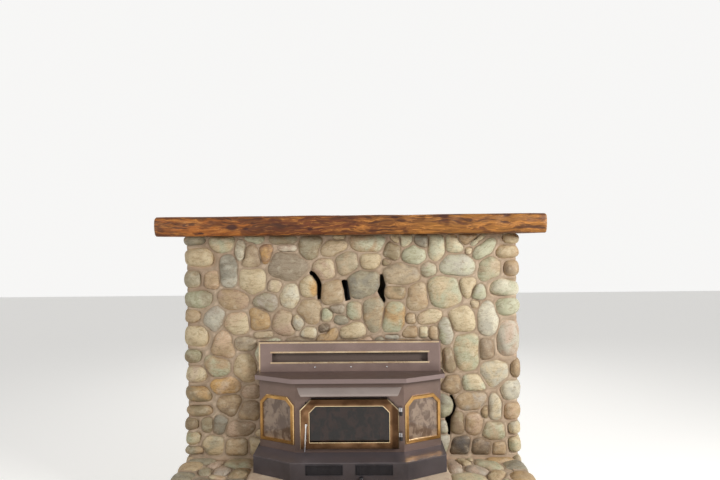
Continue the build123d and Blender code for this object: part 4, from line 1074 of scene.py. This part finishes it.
thimbleLow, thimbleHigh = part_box("flue_thimble")
thimbleHole = oblong(-thimbleHigh.x, -thimbleLow.x, thimbleLow.z - hearthTop, breastHeight + 0.1)
backFill = packStones(backRocks, (breastLeft + 0.01, 0.0), (breastRight - 0.01, breastHeight), [thimbleHole],
                      **fillLook["back"])
backStones = backRocks + backFill
shapeOutlines(backStones, (breastLeft, 0.0), (breastRight, breastHeight), [thimbleHole], backSeed)
heap = Heap()
for stone in backFill:
    addDome(heap, stone, backWall, stoneTurn)
stonework.append(heap.build("back_cobbles"))
print("side and back walls packed")

# Hearth: whole cobbles round its top edge and down its corners, set stones on its faces and top
hearthLook = {
    "edgeTall": (0.055, 0.07), "edgeWide": (0.075, 0.13), "frontDeep": 1.3, "flankDeep": 1.4,
    "edgeDepth": (0.085, 0.12), "corner": 0.105, "cornerSpread": (0.85, 1.1),
    "cornerTall": (0.062, 0.075, 0.083), "cornerSquare": 3.4, "overlap": 1.02,
    "roundStove": 0.02, "behindStove": 0.4, "backInset": 0.045, "deckPast": 0.02,
    "typical": {"deck": 0.135, "face": 0.14, "left": 0.14, "right": 0.14, "back": 0.15},
    "seeds": {"deck": 81, "face": 82, "left": 83, "right": 84, "back": 85, "frontEdge": 71, "edges": (72, 73)},
}
bedLook = {
    # how far the beds stay inside the stones' own edges, and how far they go down into the hearth
    "front": 0.022, "side": 0.05, "back": 0.034, "hearth": 0.03, "hearthTop": 0.02, "deckBack": 0.05,
    "under": -0.03, "deckFoot": 0.004, "thick": 0.12, "backRounding": 0.04, "fine": 10 * millimetre,
    "coarse": 16 * millimetre,
}
hearthRocks = {"deck": [], "face": [], "left": [], "right": [], "back": []}


def edgeRun(start, end, seed):
    # middles and half lengths of the whole cobbles along one edge
    random = np.random.default_rng(seed)
    halves, total = [], 0.0
    while total < end - start:
        halves.append(random.uniform(*hearthLook["edgeWide"]))
        total += 2 * halves[-1]
    scale = (end - start) / total
    run, place = [], start
    for half in halves:
        run.append((place + half * scale, half * scale))
        place += 2 * half * scale
    return run


def addHearthRock(centre, halves, walls, grown=1.0, square=2.6):
    # one whole cobble in tones of its own, and how it shows on the walls that it's part of
    (x, y, z), (wide, deep, tall) = centre, halves
    tone = makeStone(0, 0, 1, 1, look=anyLook(stoneTurn))
    addRock(heap, centre, (wide, deep, tall * grown), tone, stoneTurn, square)
    shown = {"face": (x, z, wide, tall), "deck": (x, y, wide, deep), "left": (-y, z, deep, tall),
             "right": (y, z, deep, tall)}
    for name in walls:
        hearthRocks[name].append(makeStone(*shown[name], rock=True))


def edgeSize(factor):
    return stoneTurn.uniform(*hearthLook["edgeDepth"]) / 2 * factor, stoneTurn.uniform(*hearthLook["edgeTall"])


heap = Heap()
corner = hearthLook["corner"]
for side, edge, inward in sides:
    level = hearthTop
    for tall in hearthLook["cornerTall"]:
        wide, deep = (corner * stoneTurn.uniform(*hearthLook["cornerSpread"]) for _ in range(2))
        centre = (edge + inward * wide, hearthFront + deep, max(level - tall, tall))
        walls = ("face", side, "deck") if level == hearthTop else ("face", side)
        addHearthRock(centre, (wide, deep, tall), walls, hearthLook["overlap"], hearthLook["cornerSquare"])
        level -= 2 * tall
seeds = hearthLook["seeds"]
for middle, half in edgeRun(breastLeft + 2 * corner, breastRight - 2 * corner, seeds["frontEdge"]):
    deep, tall = edgeSize(hearthLook["frontDeep"])
    addHearthRock((middle, hearthFront + deep, hearthTop - tall), (half, deep, tall), ("face", "deck"))
for (side, edge, inward), seed in zip(sides, seeds["edges"]):
    for middle, half in edgeRun(hearthFront + 2 * corner, faceY, seed):
        wide, tall = edgeSize(hearthLook["flankDeep"])
        addHearthRock((edge + inward * wide, middle, hearthTop - tall), (wide, half, tall), (side, "deck"))
stonework.append(heap.build("hearth_edge_cobbles"))


baseLow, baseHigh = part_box("base_box")
gap, inset = hearthLook["roundStove"], hearthLook["backInset"]
stoveFoot = oblong(baseLow.x - gap, baseHigh.x + gap, baseLow.y - gap, faceY + hearthLook["behindStove"])
# each wall of the hearth, with its lowest and highest corner
hearthWalls = {
    "deck": (wall((0, 0, hearthTop), (1, 0, 0), (0, 1, 0)), (breastLeft, hearthFront),
             (breastRight, faceY + hearthLook["deckPast"])),
    "face": (wall((0, hearthFront, 0), (1, 0, 0)), (breastLeft, 0.0), (breastRight, hearthTop)),
}
for side, edge, inward in sides:
    near, far = flankSpan(inward, hearthFront)
    hearthWalls[side] = wall((edge, 0, 0), (0, -inward, 0)), (near, 0.0), (far, hearthTop)
hearthWalls["back"] = (wall((0, backY, 0), (-1, 0, 0)), (breastLeft + inset, 0.0),
                       (breastRight - inset, hearthTop))
heap = Heap()
hearthStones = {}
for key, (place, low, high) in hearthWalls.items():
    holes, seed = [stoveFoot] if key == "deck" else [], seeds[key]
    fill = packStones(hearthRocks[key], low, high, holes, hearthLook["typical"][key], seed)
    hearthStones[key] = hearthRocks[key] + fill
    shapeOutlines(hearthStones[key], low, high, holes, seed)
    for stone in fill:
        addDome(heap, stone, place, stoneTurn)
stonework.append(heap.build("hearth_cobbles"))
print("hearth packed")

# Mortar beds
shallow = stoneLook["recess"]
under, fine, coarse, thick = (bedLook[key] for key in ("under", "fine", "coarse", "thick"))
frontBed = mortarBed("front_mortar", frontWall, (breastLeft + bedLook["front"], under),
                     (breastRight - bedLook["front"], breastHeight), frontAll, "lr", shallow, frontHoles,
                     sootAndShade=True, step=fine, thickness=thick)
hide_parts("left_jamb", "right_jamb", "right_jamb_head", "cool_gap_sill", "lintel_course",
            "vent_stone_1", "vent_stone_2", "vent_stone_3", "vent_stone_4", "top_course")
stonework.append(frontBed)
for side, edge, inward in sides:
    near, far = flankSpan(inward, faceY, bedLook["side"])
    sideBed = mortarBed(side + "_mortar", sideWalls[side], (near, under), (far, breastHeight),
                        sideStones[side], "lr")
    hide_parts(side + "_pier")
    stonework.append(sideBed)
backBed = mortarBed("back_mortar", backWall, (breastLeft + bedLook["back"], under),
                    (breastRight - bedLook["back"], breastHeight), backStones, "lr", shallow, [thimbleHole],
                    step=coarse, thickness=thick, rounding=bedLook["backRounding"])
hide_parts("back_left", "back_right", "back_middle")
inset, lowered = bedLook["hearth"], hearthTop - bedLook["hearthTop"]
left, right = breastLeft + inset, breastRight - inset
deckBed = mortarBed("hearth_top_mortar", hearthWalls["deck"][0], (left, hearthFront + inset),
                    (right, backY - bedLook["deckBack"]), hearthStones["deck"], "lrb", shallow,
                    pads=[stoveFoot], thickness=hearthTop - bedLook["deckFoot"])
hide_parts("hearth_base")
faceBed = mortarBed("hearth_face_mortar", hearthWalls["face"][0], (left, 0.0), (right, hearthTop - inset),
                    hearthStones["face"], "lrt", shallow)
stonework += [backBed, deckBed, faceBed]
for side, edge, inward in sides:
    near, far = flankSpan(inward, hearthFront, inset)
    stonework.append(mortarBed("hearth_" + side + "_mortar", hearthWalls[side][0], (near, 0.0), (far, lowered),
                               hearthStones[side], "lr"))
stonework.append(mortarBed("hearth_back_mortar", hearthWalls["back"][0], (left, 0.0), (right, lowered),
                           hearthStones["back"], "lr", shallow, step=coarse))
for piece in stonework:
    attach(piece, "fireplace")
print("mortar laid")

# Mantel: a log slab whose rounded face keeps its hewn hollows and knots
mantelLook = {
    "spacing": 6 * millimetre, "facePoints": 27, "backDepths": (0.0, 0.08, 0.2, 0.36, 0.48), "depth": 0.5,
    "nose": 27 * millimetre, "crest": 0.62, "underRound": 2.4, "overRound": 4.0,
    "wave": 3 * millimetre, "waves": ((0.28, 4.3, 0.6), (0.22, 8.9, 2.2)),  # share, turns along it, start
    "hew": 1.7 * millimetre, "hewGain": 1.4, "lift": 2.2 * millimetre, "hollow": 12 * millimetre, "seed": 17,
    "edgeBand": 12 * millimetre, "rubbedLeft": 5 * millimetre, "rubbedRight": 4 * millimetre,
    "sawnLeft": 4 * millimetre, "sawnRight": 8 * millimetre,
    "knots": (
        # how far along from the left end, how far up the face, half length, half height, depth
        (0.2, 0.44, 0.056, 0.027, 0.005), (0.12, 0.16, 0.03, 0.01, 0.003), (0.235, 0.36, 0.03, 0.012, 0.003),
        (0.4, 0.28, 0.03, 0.013, 0.003), (0.615, 0.86, 0.04, 0.012, 0.003), (0.74, 0.88, 0.05, 0.018, 0.004),
        (0.9, 0.9, 0.04, 0.01, 0.002),
    ),
}


def mantelMesh():
    low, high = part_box("mantel_log")
    thick, nose, crest = high.z - low.z, mantelLook["nose"], mantelLook["crest"]
    stations = int(mantelLength / mantelLook["spacing"])
    # cross-section from the back of the underside, round the face and back over the top
    up = (1 - np.cos(np.linspace(0, np.pi, mantelLook["facePoints"]))) / 2
    lower, upper = np.clip((crest - up) / crest, 0, 1), np.clip((up - crest) / (1 - crest), 0, 1)
    bulge = np.clip(1 - lower ** mantelLook["underRound"] - upper ** mantelLook["overRound"], 0, 1)
    root = low.y + nose
    behind = root + (high.y - low.y - nose) * (1 - np.array(mantelLook["backDepths"]) / mantelLook["depth"])
    flat = np.zeros(len(behind))
    section = np.stack([
        np.concatenate([behind, root - np.sqrt(bulge) * nose, behind[::-1]]),
        np.concatenate([flat, up * thick, flat + thick]), np.concatenate([flat, np.ones(len(up)), flat]),
    ])
    across = section.shape[1]
    gy, gz, face = (np.tile(row, (stations + 1, 1)) for row in section)
    gx = np.tile(np.linspace(0, mantelLength, stations + 1)[:, None], (1, across))
    waves = 0.5
    for share, turns, begin in mantelLook["waves"]:
        waves = waves + share * np.sin(gx * turns + begin)
    spots = np.stack([gx.ravel(), gy.ravel() * 0, gz.ravel() * 2.2], 1)
    hewn = np.abs(lumps(np.random.default_rng(mantelLook["seed"]), spots, mantelLook["hew"], 0.2, 0.06))
    push = face * (mantelLook["wave"] * waves + hewn.reshape(gx.shape) * mantelLook["hewGain"])
    knot, bend = np.zeros(gx.shape), np.zeros(gx.shape)
    for along, height, long, tall, deep in mantelLook["knots"]:
        du, dv = (gx - along * mantelLength) / long, (gz - height * thick) / tall
        knot = np.maximum(knot, np.exp(-((du / 0.7) ** 2 + (dv / 0.75) ** 2) ** 1.5))
        bend += 0.9 * tall * dv * np.exp(-(du ** 2 + dv ** 2) / 2.5)
        push += face * deep * np.exp(-(du ** 2 + dv ** 2))
    # the two ends are sawn square, with their edges rubbed
    drawn, sawn = 0.0, 0.0
    for end, edgeBand, cut in ((gx, "rubbedLeft", "sawnLeft"), (mantelLength - gx, "rubbedRight", "sawnRight")):
        inside = np.clip(end / mantelLook["edgeBand"], 0, 1)
        drawn = drawn + mantelLook[edgeBand] * (1 - np.sqrt(1 - (1 - inside) ** 2))
        sawn = sawn + np.clip(1 - end / mantelLook[cut], 0, 1)
    middle = thick / 2
    z = gz + np.sign(middle - gz) * drawn * np.abs(gz - middle) / middle
    z = np.clip(z + face * mantelLook["lift"] * np.sin(gx * 11 + 1.0) * np.sin(gx * 5.1), 0.0, thick)
    points = np.stack([low.x + gx, gy + push + drawn * face, low.z + z], -1).reshape(-1, 3)
    keys = np.arange(len(points)).reshape(-1, across)
    after = np.roll(keys, -1, axis=1)
    faces = np.stack([keys[:-1], after[:-1], after[1:], keys[1:]], -1).reshape(-1, 4).tolist()
    faces += [keys[0, ::-1].tolist(), keys[-1].tolist()]
    grain = np.stack([gx, gy, gz + bend], -1)
    hollow = np.clip(push / mantelLook["hollow"], 0, 1) * 0.9
    return meshPiece("mantel_log_hewn", points, faces, pine, (len(faces) - 2, len(faces) - 1), (
        ("grainPlace", "FLOAT_VECTOR", grain), ("knotShare", "FLOAT", knot),
        ("hollowShare", "FLOAT", hollow), ("sawnShare", "FLOAT", sawn * 0.85),
    ))


mantel = mantelMesh()
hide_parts("mantel_log")
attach(mantel, "fireplace")
print("mantel hewn")

# Screws under the panel's slot, the fire bricks and the air grilles, each repeated by a node tree
screwLook = {"across": (315.3, 351.1, 386.9), "down": 367.2, "Radius": 6 * millimetre}
brickLook = {"wide": 114 * millimetre, "tall": 152 * millimetre, "Joint": 2.5 * millimetre}
grilleLook = {
    "Tall": 65 * millimetre, "Rim": 4.5 * millimetre, "Thick": 1.6 * millimetre, "Bars": 32,
    "Bar": 4.0 * millimetre, "rise": 2 * millimetre, "trim": 8 * millimetre,
}


def newTree(name, **kinds):
    tree = bpy.data.node_groups.new(name, "GeometryNodeTree")
    keys = {}
    for label, kind in kinds.items():
        socket = tree.interface.new_socket(label, in_out="INPUT", socket_type="NodeSocket" + kind)
        keys[label] = socket.identifier
    tree.interface.new_socket("Geometry", in_out="OUTPUT", socket_type="NodeSocketGeometry")
    return tree, keys, tree.nodes.new("NodeGroupInput").outputs


def finishTree(tree, geometry, material):
    realized = addNode(tree, "GeometryNodeRealizeInstances", Geometry=geometry)
    painted = addNode(tree, "GeometryNodeSetMaterial", Geometry=realized.outputs[0], Material=material)
    tree.links.new(painted.outputs[0], tree.nodes.new("NodeGroupOutput").inputs[0])


def joined(tree, *parts):
    both = addNode(tree, "GeometryNodeJoinGeometry")
    for part in parts:
        tree.links.new(part.outputs[0], both.inputs[0])
    return both.outputs[0]


def combined(tree, **parts):
    return addNode(tree, "ShaderNodeCombineXYZ", **parts).outputs[0]


def roundedCube(tree, size, level, crease):
    cube = addNode(tree, "GeometryNodeMeshCube", Size=size)
    return addNode(tree, "GeometryNodeSubdivisionSurface", Mesh=cube.outputs[0], Level=level,
                   Edge_Crease=crease).outputs[0]


def screwTree():
    # a row of pan-head screws that face the room: a thin washer under a low domed head, one for each step
    tree, keys, given = newTree("screwRow", Count="Int", Start="Vector", Step="Vector", Radius="Float",
                                Material="Material")
    line = addNode(tree, "GeometryNodeMeshLine", Count=given["Count"], Start_Location=given["Start"],
                   Offset=given["Step"])
    washer = addNode(tree, "GeometryNodeMeshCylinder", Vertices=20, Radius=given["Radius"],
                     Depth=math2(tree, "MULTIPLY", given["Radius"], 0.3))
    head = addNode(tree, "GeometryNodeMeshUVSphere", Segments=16, Rings=8,
                   Radius=math2(tree, "MULTIPLY", given["Radius"], 0.68))
    low = addNode(tree, "GeometryNodeTransform", Geometry=head.outputs[0], Scale=(1.0, 1.0, 0.55))
    placed = addNode(tree, "GeometryNodeInstanceOnPoints", Points=line.outputs[0],
                     Instance=joined(tree, washer, low), Rotation=(math.pi / 2, 0.0, 0.0))
    finishTree(tree, placed.outputs[0], given["Material"])
    return tree, keys


def brickTree():
    # one lining of fire bricks: rounded bricks on a grid, narrower towards its far end, set in place and turned
    tree, keys, given = newTree("brickLining", Wide="Float", Tall="Float", Thick="Float", Columns="Int",
                                Rows="Int", Joint="Float", Taper="Float", Place="Vector", Turn="Vector",
                                Seed="Int", Material="Material")
    across = math2(tree, "DIVIDE", given["Wide"], given["Columns"])
    up = math2(tree, "DIVIDE", given["Tall"], given["Rows"])
    grid = addNode(tree, "GeometryNodeMeshGrid", Size_X=math2(tree, "SUBTRACT", given["Wide"], across),
                   Size_Y=math2(tree, "SUBTRACT", given["Tall"], up), Vertices_X=given["Columns"],
                   Vertices_Y=given["Rows"])
    size = combined(tree, X=math2(tree, "SUBTRACT", across, given["Joint"]),
                    Y=math2(tree, "SUBTRACT", up, given["Joint"]), Z=given["Thick"])
    place = addNode(tree, "GeometryNodeInputPosition").outputs[0]
    rows = addNode(tree, "ShaderNodeSeparateXYZ", Vector=place)
    farther = math2(tree, "ADD", math2(tree, "DIVIDE", rows.outputs["Y"], given["Tall"]), 0.5)
    narrower = math2(tree, "SUBTRACT", 1.0, math2(tree, "MULTIPLY", farther, given["Taper"]))
    moved = addNode(tree, "ShaderNodeVectorMath", {"operation": "MULTIPLY"}, i0=place,
                    i1=combined(tree, X=narrower, Y=1.0, Z=1.0))
    points = addNode(tree, "GeometryNodeSetPosition", Geometry=grid.outputs[0], Position=moved.outputs[0])
    uneven = addNode(tree, "FunctionNodeRandomValue", {"data_type": "FLOAT"}, i2=0.975, i3=1.0,
                     Seed=given["Seed"])
    placed = addNode(tree, "GeometryNodeInstanceOnPoints", Points=points.outputs[0],
                     Instance=roundedCube(tree, size, 2, 0.86),
                     Scale=combined(tree, X=narrower, Y=1.0, Z=uneven.outputs[1]))
    stood = addNode(tree, "GeometryNodeTransform", Geometry=placed.outputs[0], Translation=given["Place"],
                    Rotation=given["Turn"])
    finishTree(tree, stood.outputs[0], given["Material"])
    return tree, keys


def grilleTree():
    # a slotted air grille: two sides, a top and a foot, and upright bars between them
    tree, keys, given = newTree("airGrille", Wide="Float", Tall="Float", Rim="Float", Thick="Float", Bars="Int",
                                Bar="Float", Place="Vector", Material="Material")
    rim, thick = given["Rim"], given["Thick"]

    def row(count, start, step, size):
        line = addNode(tree, "GeometryNodeMeshLine", Count=count, Start_Location=start, Offset=step)
        return addNode(tree, "GeometryNodeInstanceOnPoints", Points=line.outputs[0],
                       Instance=roundedCube(tree, size, 1, 0.8))

    inner = math2(tree, "SUBTRACT", given["Wide"], math2(tree, "MULTIPLY", rim, 2.0))
    pitch = math2(tree, "DIVIDE", inner, math2(tree, "ADD", given["Bars"], 1.0))
    first = math2(tree, "SUBTRACT", pitch, math2(tree, "MULTIPLY", inner, 0.5))
    across, up = (math2(tree, "SUBTRACT", given[size], rim) for size in ("Wide", "Tall"))
    back, down = (math2(tree, "MULTIPLY", step, -0.5) for step in (across, up))
    bars = row(given["Bars"], combined(tree, X=first), combined(tree, X=pitch),
               combined(tree, X=given["Bar"], Y=thick, Z=up))
    uprights = row(2, combined(tree, X=back), combined(tree, X=across),
                   combined(tree, X=rim, Y=thick, Z=given["Tall"]))
    rails = row(2, combined(tree, Z=down), combined(tree, Z=up), combined(tree, X=across, Y=thick, Z=rim))
    moved = addNode(tree, "GeometryNodeTransform", Geometry=joined(tree, bars, uprights, rails),
                    Translation=given["Place"])
    finishTree(tree, moved.outputs[0], given["Material"])
    return tree, keys


def grownFrom(name, treeAndKeys, values):
    # runs a node tree on an empty mesh and keeps the plain mesh that comes out
    tree, keys = treeAndKeys
    holder = linked(name, bpy.data.meshes.new(name + "_seed"))
    modifier = holder.modifiers.new(name, "NODES")
    modifier.node_group = tree
    for label, value in values.items():
        modifier[keys[label]] = value
    bpy.context.view_layer.update()
    mesh = bpy.data.meshes.new_from_object(holder.evaluated_get(bpy.context.evaluated_depsgraph_get()))
    holder.modifiers.remove(modifier)
    mesh.name = name
    holder.data = mesh
    return holder


def putScrews():
    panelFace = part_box("surround_panel")[0].y
    places = [onFace(across, screwLook["down"], panelFace) for across in screwLook["across"]]
    (first, z), last = places[0], places[-1][0]
    screws = grownFrom("panel_screws", screwTree(), {
        "Count": len(places), "Start": (first, panelFace - 0.5 * millimetre, z), "Radius": screwLook["Radius"],
        "Step": ((last - first) / (len(places) - 1), 0.0, 0.0), "Material": chrome,
    })
    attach(screws, "fireplace")


def putBricks():
    tree = brickTree()
    sizes = {name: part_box(name)[1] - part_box(name)[0] for name in ("floor_bricks", "back_bricks", "left_bricks")}
    floor, back, flank = sizes.values()
    thick, upright = floor.z, math.pi / 2
    lean = (flank.x - thick) / flank.y
    sideLong, angle = math.hypot(flank.x - thick, flank.y), math.atan(lean)
    rows = max(1, round(back.z / brickLook["tall"]))
    for seed, (name, wide, tall, columnsOf, rowCount, more) in enumerate((
        ("floor_bricks", floor.x, floor.y, floor.x, 2, {"Taper": 2 * lean * floor.y / floor.x}),
        ("back_bricks", back.x - 2 * lean * thick, back.z, back.x, rows, {"Turn": (upright, 0.0, 0.0)}),
        ("left_bricks", sideLong, back.z, sideLong, rows, {"Turn": (upright, 0.0, upright - angle)}),
        ("right_bricks", sideLong, back.z, sideLong, rows, {"Turn": (upright, 0.0, upright + angle)}),
    ), start=1):
        lining = grownFrom(name + "_laid", tree, {
            "Wide": wide, "Tall": tall, "Thick": thick, "Columns": round(columnsOf / brickLook["wide"]),
            "Rows": rowCount, "Joint": brickLook["Joint"], "Place": sum(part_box(name), Vector()) / 2,
            "Seed": seed, "Material": fireBrick, **more,
        })
        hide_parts(name)
        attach(lining, "fireplace")


def putGrilles():
    tree = grilleTree()
    shared = {label: grilleLook[label] for label in ("Tall", "Rim", "Thick", "Bars", "Bar")}
    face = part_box("base_box")[0].y - grilleLook["Thick"] / 2 + 0.2 * millimetre
    for name in ("left_grille", "right_grille"):
        low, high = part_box(name)
        middle = (low + high) / 2
        grille = grownFrom(name + "_slotted", tree, {
            "Wide": high.x - low.x - grilleLook["trim"], "Material": grillePaint,
            "Place": (middle.x, face, middle.z + grilleLook["rise"]), **shared,
        })
        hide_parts(name)
        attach(grille, "fireplace")


putScrews()
putBricks()
putGrilles()
print("screws, bricks and grilles made by node trees")

# Door handle: a slim forged lever on a domed boss
leverLook = {
    "boss": 8.5, "shaft": 6.0, "sides": 20, "gripDepth": 9.0,
    # how far under the pivot, lean to the left, half width and half depth, in millimetres
    "grip": (
        (-9.0, 0.0, 2.6, 2.4), (-6.5, 0.0, 4.2, 3.4), (0.0, 0.2, 5.0, 4.2), (14.0, 0.8, 4.2, 4.0),
        (40.0, 2.0, 4.4, 4.0), (74.0, 4.0, 5.6, 4.6), (104.0, 6.0, 5.2, 4.4), (130.0, 7.6, 3.9, 3.6),
        (144.0, 8.6, 3.6, 3.4), (149.0, 9.0, 2.2, 2.2),
    ),
    # how far in front of the trim's face, in millimetres, and the share of the boss's radius there
    "dome": ((0.6, 0.96), (1.6, 1.0), (4.5, 0.96), (6.5, 0.8), (7.8, 0.56)),
}


def leverMesh():
    low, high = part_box("door_handle")
    faceOf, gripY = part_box("door_trim")[0].y, low.y + leverLook["gripDepth"] * millimetre
    x, z = (low.x + high.x) / 2, high.z - (high.x - low.x) / 2
    turn = np.arange(leverLook["sides"]) * 2 * np.pi / leverLook["sides"]
    cosine, sine, level = np.cos(turn), np.sin(turn), np.ones(len(turn))
    grip = []
    for under, lean, wide, deep in np.array(leverLook["grip"]) * millimetre:
        grip.append(np.stack([x - lean + wide * cosine, gripY + deep * sine, level * (z - under)], 1))
    boss, shaft = leverLook["boss"] * millimetre, leverLook["shaft"] * millimetre
    rings = [(high.y, shaft * 0.8), (high.y - 1 * millimetre, shaft), (faceOf - 0.4 * millimetre, shaft)]
    rings += [(faceOf - ahead * millimetre, boss * share) for ahead, share in leverLook["dome"]]
    rings += [(gripY, boss * 0.5)]
    boss = [np.stack([x + radius * cosine, level * y, z + radius * sine], 1) for y, radius in rings]
    points, faces = [], []
    for skin in (grip, boss):
        faces += [tuple(i + len(points) for i in face) for face in skinFaces(len(turn), len(skin))]
        points += [skin[0].mean(axis=0), *np.concatenate(skin), skin[-1].mean(axis=0)]
    made = meshPiece("door_handle_forged", points, faces, chrome)
    shape = bmesh.new()
    shape.from_mesh(made.data)
    bmesh.ops.recalc_face_normals(shape, faces=shape.faces)
    shape.to_mesh(made.data)
    shape.free()
    return made


lever = leverMesh()
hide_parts("door_handle")
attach(lever, "handle")
print("handle forged")

# Floor and light
stageLook = {
    "floor": "#e9e7e2", "glow": (1.0, 0.995, 0.985, 1.0), "floorGlow": 0.42, "backdrop": 0.93,
    "worldStrength": 0.26, "floorReach": 14.0,
    # where each light stands, what it is aimed at, its size and its power
    "lights": {
        "keyLight": ((3.5, -2.3, 2.7), (0.0, 0.1, 1.2), (1.0, 1.0), 150),
        "fillLight": ((-3.0, -3.0, 2.0), (0.0, 0.0, 1.1), (1.4, 1.4), 42),
        "backLight": ((0.0, 4.2, 3.4), (0.0, 0.4, 1.0), (2.4, 1.2), 60),
    },
}


def seenRays(tree):
    rays = addNode(tree, "ShaderNodeLightPath")
    shown = math2(tree, "MAXIMUM", rays.outputs["Is Camera Ray"], rays.outputs["Is Glossy Ray"])
    return math2(tree, "MAXIMUM", shown, rays.outputs["Is Transmission Ray"])


def makeStage():
    # a pale floor and backdrop, brighter to what looks at them than they are as light
    reach = stageLook["floorReach"]
    material, tree, shader = newMaterial("studioFloor", Roughness=0.9, Base_Color=linear(stageLook["floor"]),
                                         Emission_Color=stageLook["glow"])
    glow = math2(tree, "MULTIPLY", seenRays(tree), stageLook["floorGlow"])
    tree.links.new(glow, shader.inputs["Emission Strength"])
    corners = [(x, y, -1 * millimetre) for x, y in oblong(-reach, reach, -reach, reach)]
    meshPiece("studio_floor", corners, [(0, 1, 2, 3)], material, [0])
    world = bpy.data.worlds.new("studio")
    bpy.context.scene.world = world
    world.use_nodes = True
    tree = world.node_tree
    strength = addNode(tree, "ShaderNodeMapRange", i0=seenRays(tree), i3=stageLook["worldStrength"],
                       i4=stageLook["backdrop"])
    background = tree.nodes["Background"]
    background.inputs["Color"].default_value = stageLook["glow"]
    tree.links.new(strength.outputs[0], background.inputs["Strength"])


def softLight(name, spot, aim, size, power):
    lamp = bpy.data.lights.new(name, "AREA")
    lamp.shape = "RECTANGLE"
    lamp.size, lamp.size_y = size
    lamp.energy = power
    direction = Vector(aim) - Vector(spot)
    turn = direction.to_track_quat("-Z", "Y").to_matrix().to_4x4()
    linked(name, lamp).matrix_world = Matrix.Translation(spot) @ turn


makeStage()
for name, light in stageLook["lights"].items():
    softLight(name, *light)
bpy.context.scene.view_settings.view_transform = "Standard"
print("stage lit")
